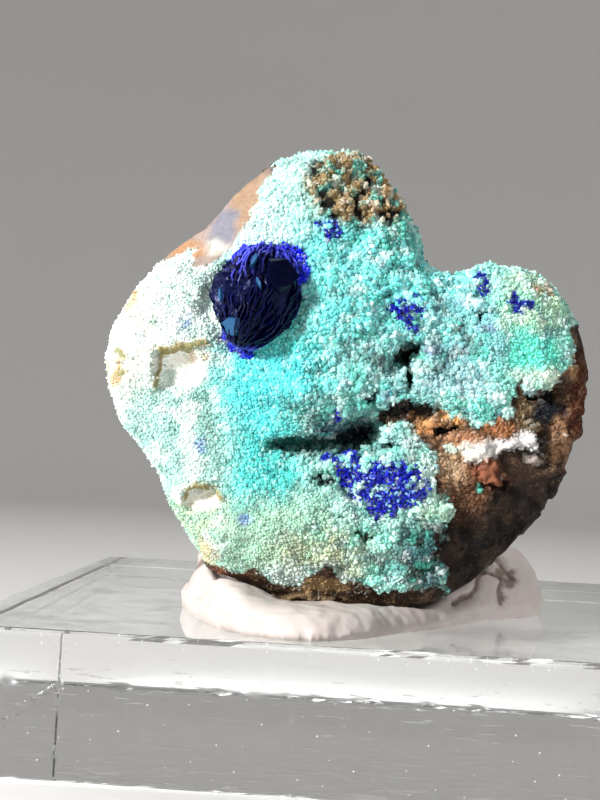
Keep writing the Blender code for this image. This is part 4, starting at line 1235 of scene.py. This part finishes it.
def rosette_faces(middle, reach):
    """A few flat crystal faces that lie on the rosette's front, most of them painted steel blue in place of the light
    they reflect.
    """
    dark = azurite_material("smooth azurite", "#01031C", "#0A1468", 0.2, 0.2, 0.0, 0.08)
    # Steel blue painted in place of the light that these flat faces reflect
    painted_reflection = azurite_material("steel blue azurite", "#1E5078", "#5A9CC0", 0.3, 0.5, 0.0)
    bm = bmesh.new()
    for turn, lift, half_width, half_height, roll, finish in ROSETTE_FACES:
        turn, lift = math.radians(turn), math.radians(lift)
        out = Vector((math.sin(turn) * math.cos(lift), -math.cos(turn) * math.cos(lift), math.sin(lift)))
        made = bmesh.ops.create_cone(bm, cap_ends=True, segments=6, radius1=1.0, radius2=0.92, depth=1.0)
        size = Matrix.Diagonal((half_width, half_height, 0.09, 1.0))
        height = 1.0 if finish == "painted_reflection" else 1.015
        place = Matrix.Translation(middle + height * reach * out) @ out.to_track_quat("Z", "Y").to_matrix().to_4x4()
        place = place @ Matrix.Rotation(math.radians(roll), 4, "Z") @ Matrix.Scale(reach, 4) @ size
        for vertex in made["verts"]:
            vertex.co += 0.5 * noise.noise_vector(vertex.co * 1.3 + 9 * out) * Vector((1.0, 1.0, 0.2))
            vertex.co.x *= 1 + 0.35 * vertex.co.y
            vertex.co = place @ vertex.co
            for face in vertex.link_faces:
                face.material_index = finish == "painted_reflection"
    faces = object_from("rosette_faces", bm)
    faces.data.materials.append(dark)
    faces.data.materials.append(painted_reflection)
    return faces


def rosette_core(middle, reach):
    """The dark body that the blades stand on: ribbed from top to foot, and a little smaller than they are."""
    settings = bpy.context.scene.azurite_crystals
    bm = bmesh.new()
    bmesh.ops.create_icosphere(bm, subdivisions=5, radius=1.0)
    for vertex in bm.verts:
        turn = math.atan2(vertex.co.x, -vertex.co.y) + 0.25 * noise.noise(vertex.co * 2.5)
        rib = 1 - abs(math.sin(13 * turn))
        vertex.co *= 0.93 + 0.1 * rib + 0.06 * noise.noise(vertex.co * 5)
    tilt = Euler((-settings.spine_tilt, settings.lean, 0.0)).to_matrix().to_4x4()
    place = Matrix.Translation(middle) @ tilt @ Matrix.Scale(reach, 4)
    bm.transform(place @ Matrix.Diagonal((0.92, 0.92, 0.96, 1.0)))
    return object_from("rosette_core", bm)


def build_putty():
    settings = bpy.context.scene.azurite_putty
    putty = copy_of_node("putty")
    putty.name = "putty_blob"
    even_cells(putty, settings.cell, 8)
    points, normals = points_of(putty.data), points_of(putty.data, "normal")
    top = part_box("acrylic_block")[1].z
    xz = points[:, [0, 2]]
    outward = smooth(0.7 - normals[:, 1])
    rise = settings.dent_height * (fractal(points, 2.2 * MM) + 0.35 * fractal(points, 0.8 * MM, 2, 3.0)) + 0.04 * MM
    dirt = np.zeros(len(points))
    # The putty is painted darker along its creases and on its smudges
    for depth, width, line in PUTTY_CREASES:
        crease = np.exp(-(near_line(xz, line) / (width * MM)) ** 2) * outward
        rise -= depth * MM * crease
        dirt = np.maximum(dirt, 0.95 * crease)
    for patch in PUTTY_SMUDGES:
        dirt = np.maximum(dirt, 0.85 * patch_share(xz, *patch, 1.6) * outward)
    foot = smooth((points[:, 2] - top - 0.35 * MM) / (0.5 * MM))
    points += normals * (rise * (0.25 + 0.75 * foot))[:, None]
    bottom = smooth((top + 0.75 * MM - points[:, 2]) / (0.4 * MM))
    points[:, 2] = np.where(normals[:, 2] < -0.5, top + 0.01 * MM, np.maximum(points[:, 2] - 0.25 * MM * bottom, top + 0.01 * MM))
    move_points(putty.data, points)
    store(putty.data, "dirt", dirt)
    putty.data.materials.append(putty_material())
    putty.data.polygons.foreach_set("use_smooth", [True] * len(putty.data.polygons))
    add_piece(putty, "putty", "putty")


def build_block():
    """The block, its edges broken by small chips."""
    settings = bpy.context.scene.azurite_block
    low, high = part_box("acrylic_block")
    bm = bmesh.new()
    bmesh.ops.create_cube(bm, size=1.0)
    bm.transform(Matrix.LocRotScale((low + high) / 2, None, high - low))
    bmesh.ops.bevel(bm, geom=bm.edges, offset=settings.edge, segments=3, affect="EDGES", profile=0.6)
    long_edges = [edge for edge in bm.edges if edge.calc_length() > 2 * MM]
    bmesh.ops.subdivide_edges(bm, edges=long_edges, cuts=90, use_grid_fill=False)
    middle = (low + high) / 2
    half = (high - low) / 2
    for vertex in bm.verts:
        place = vertex.co - middle
        inset = [half[axis] - abs(place[axis]) for axis in range(3)]
        on_faces = sum(depth < 1e-7 for depth in inset)
        if on_faces == 0:
            chip = max(0.0, noise.fractal(vertex.co / (1.8 * MM), 1.0, 2.0, 3))
            inward = Vector([-math.copysign(1.0, place[axis]) if inset[axis] < settings.edge else 0.0
                             for axis in range(3)])
            vertex.co += inward.normalized() * settings.chip * min(chip, 1.0)
    bmesh.ops.recalc_face_normals(bm, faces=bm.faces)
    block = object_from("clear_block", bm)
    block.data.materials.append(acrylic_material())
    add_piece(block, "clear_acrylic", "acrylic_block")


def build_dust():
    """Specks of dust on the block's top and front."""
    settings = bpy.context.scene.azurite_block
    low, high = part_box("acrylic_block")
    bm = bmesh.new()
    bmesh.ops.create_cube(bm, size=1.0)
    inset = Vector((1.2 * MM, 0, 1.2 * MM))
    bm.transform(Matrix.LocRotScale((low + high) / 2, None, high - low - inset))
    bmesh.ops.delete(bm, geom=[face for face in bm.faces if face.normal.y > -0.5 and face.normal.z < 0.5],
                     context="FACES")
    surface = object_from("dust_surface", bm)
    store(surface.data, "dust", np.ones(len(surface.data.vertices)))
    store(surface.data, "coarse", np.ones(len(surface.data.vertices)))
    spacing = 10 * MM / math.sqrt(settings.specks) * 0.6
    dust = grown("dust", surface, scatter_tree(), Shapes=shapes("round", grain_shapes), Mask="dust",
                 Spacing=spacing, Size=0.03 * MM, Seed=3, Material=plain_material("dust", (0.8, 0.78, 0.75), 0.8),
                 **{"Size spread": 0.7})
    bpy.data.objects.remove(surface)
    add_piece(dust, "clear_acrylic")


def build_floor():
    """A round floor whose rim curves up into a plain wall, so that every view ends on it."""
    settings = bpy.context.scene.azurite_stage
    profile = [(0.0, 0.0), (0.24, 0.0)]
    profile += [(0.24 + 0.16 * math.sin(a), 0.16 * (1 - math.cos(a))) for a in np.linspace(0.15, math.pi / 2, 12)]
    profile.append((0.4, 0.62))
    bm = bmesh.new()
    rail = [bm.verts.new((x, 0, z)) for x, z in profile]
    edges = [bm.edges.new(pair) for pair in zip(rail, rail[1:])]
    bmesh.ops.spin(bm, geom=[*rail, *edges], cent=(0, 0, 0), axis=(0, 0, 1), angle=math.tau, steps=96)
    bmesh.ops.remove_doubles(bm, verts=bm.verts, dist=1e-5)
    bmesh.ops.recalc_face_normals(bm, faces=bm.faces)
    floor = object_from("floor", bm)
    floor.location.z = -0.15 * MM
    floor.data.polygons.foreach_set("use_smooth", [True] * len(floor.data.polygons))
    material = bpy.data.materials.new("plain floor")
    material.use_nodes = True
    shader = material.node_tree.nodes["Principled BSDF"]
    shader.inputs["Base Color"].default_value = (*settings.floor_colour, 1)
    shader.inputs["Roughness"].default_value = 0.9
    floor.data.materials.append(material)


def add_light(name, place, target, size, power, colour):
    data = bpy.data.lights.new(name, "AREA")
    data.shape = "DISK"
    data.size = size
    data.energy = power
    data.color = colour
    light = bpy.data.objects.new(name, data)
    bpy.context.scene.collection.objects.link(light)
    light.location = place
    light.rotation_euler = (Vector(target) - Vector(place)).to_track_quat("-Z", "Y").to_euler()


def add_lights():
    settings = bpy.context.scene.azurite_stage
    aim = (0, -0.012, 0.02)
    add_light("key", (-0.135, -0.155, 0.095), aim, 0.035, settings.key_power, (1.0, 0.985, 0.96))
    add_light("fill", (0.16, -0.16, 0.10), aim, 0.14, settings.fill_power, (0.93, 0.96, 1.0))
    add_light("top", (0.02, 0.06, 0.24), aim, 0.16, settings.top_power, (1.0, 1.0, 1.0))
    world = bpy.data.worlds.new("studio")
    world.use_nodes = True
    world.node_tree.nodes["Background"].inputs["Color"].default_value = (0.75, 0.77, 0.8, 1)
    world.node_tree.nodes["Background"].inputs["Strength"].default_value = 0.22
    bpy.context.scene.world = world
    bpy.context.scene.view_settings.view_transform = "Standard"


def add_camera():
    """The camera stands where the photograph was taken from."""
    data = bpy.data.cameras.new("camera")
    data.sensor_width = 36
    data.lens = 63
    data.clip_start = 1 * MM
    camera = bpy.data.objects.new("camera", data)
    bpy.context.scene.collection.objects.link(camera)
    camera.location = (3.95 * MM, -94.13 * MM, 19.21 * MM)
    turn = Matrix.Rotation(math.radians(4.79), 3, "Z") @ Matrix.Rotation(math.radians(91.24), 3, "X")
    camera.rotation_euler = (turn @ Matrix.Rotation(math.radians(2.79), 3, "Z")).to_euler()
    bpy.context.scene.camera = camera


class AZURITE_OT_stone(bpy.types.Operator):
    """Build the stone with its crust, grains and rough top, and the azurite that grows on it"""

    bl_idname = "azurite.stone"
    bl_label = "Stone and small azurite"

    def execute(self, context):
        stone = build_stone()
        build_grains(stone)
        build_shards(stone)
        build_azurite_groups(stone)
        add_piece(stone, "crusted_stone", "matrix")
        return {"FINISHED"}


class AZURITE_OT_rosette(bpy.types.Operator):
    """Build the large dark rosette of azurite blades"""

    bl_idname = "azurite.rosette"
    bl_label = "Rosette"

    def execute(self, context):
        build_rosette()
        return {"FINISHED"}


class AZURITE_OT_putty(bpy.types.Operator):
    """Build the putty that holds the stone"""

    bl_idname = "azurite.putty"
    bl_label = "Putty"

    def execute(self, context):
        build_putty()
        return {"FINISHED"}


class AZURITE_OT_block(bpy.types.Operator):
    """Build the clear block and the dust on it"""

    bl_idname = "azurite.block"
    bl_label = "Clear block"

    def execute(self, context):
        build_block()
        build_dust()
        return {"FINISHED"}


class AZURITE_OT_stage(bpy.types.Operator):
    """Set the floor, the lights and the camera"""

    bl_idname = "azurite.stage"
    bl_label = "Stage"

    def execute(self, context):
        build_floor()
        add_lights()
        add_camera()
        return {"FINISHED"}


class AZURITE_PT_panel(bpy.types.Panel):
    """Lists the settings and the steps"""

    bl_label = "Raw azurite"
    bl_idname = "AZURITE_PT_panel"
    bl_space_type = "VIEW_3D"
    bl_region_type = "UI"
    bl_category = "Azurite"

    def draw(self, context):
        for name, settings in SETTINGS.items():
            box = self.layout.box()
            box.label(text=settings.__doc__)
            for key in settings.__annotations__:
                box.prop(getattr(context.scene, name), key)
        for operator in OPERATORS:
            self.layout.operator(operator.bl_idname)


SETTINGS = {
    "azurite_stone": StoneSettings,
    "azurite_grains": GrainSettings,
    "azurite_crystals": AzuriteSettings,
    "azurite_putty": PuttySettings,
    "azurite_block": BlockSettings,
    "azurite_stage": StageSettings,
}
OPERATORS = [AZURITE_OT_stone, AZURITE_OT_rosette, AZURITE_OT_putty, AZURITE_OT_block, AZURITE_OT_stage]


def register():
    for item in [*SETTINGS.values(), *OPERATORS, AZURITE_PT_panel]:
        bpy.utils.register_class(item)
    for name, settings in SETTINGS.items():
        setattr(bpy.types.Scene, name, PointerProperty(type=settings))


def unregister():
    for name in SETTINGS:
        delattr(bpy.types.Scene, name)
    for item in reversed([*SETTINGS.values(), *OPERATORS, AZURITE_PT_panel]):
        bpy.utils.unregister_class(item)


def main():
    register()
    bpy.ops.azurite.stone()
    bpy.ops.azurite.rosette()
    bpy.ops.azurite.putty()
    bpy.ops.azurite.block()
    bpy.ops.azurite.stage()
    drop_shapes()


if __name__ == "__main__":
    main()
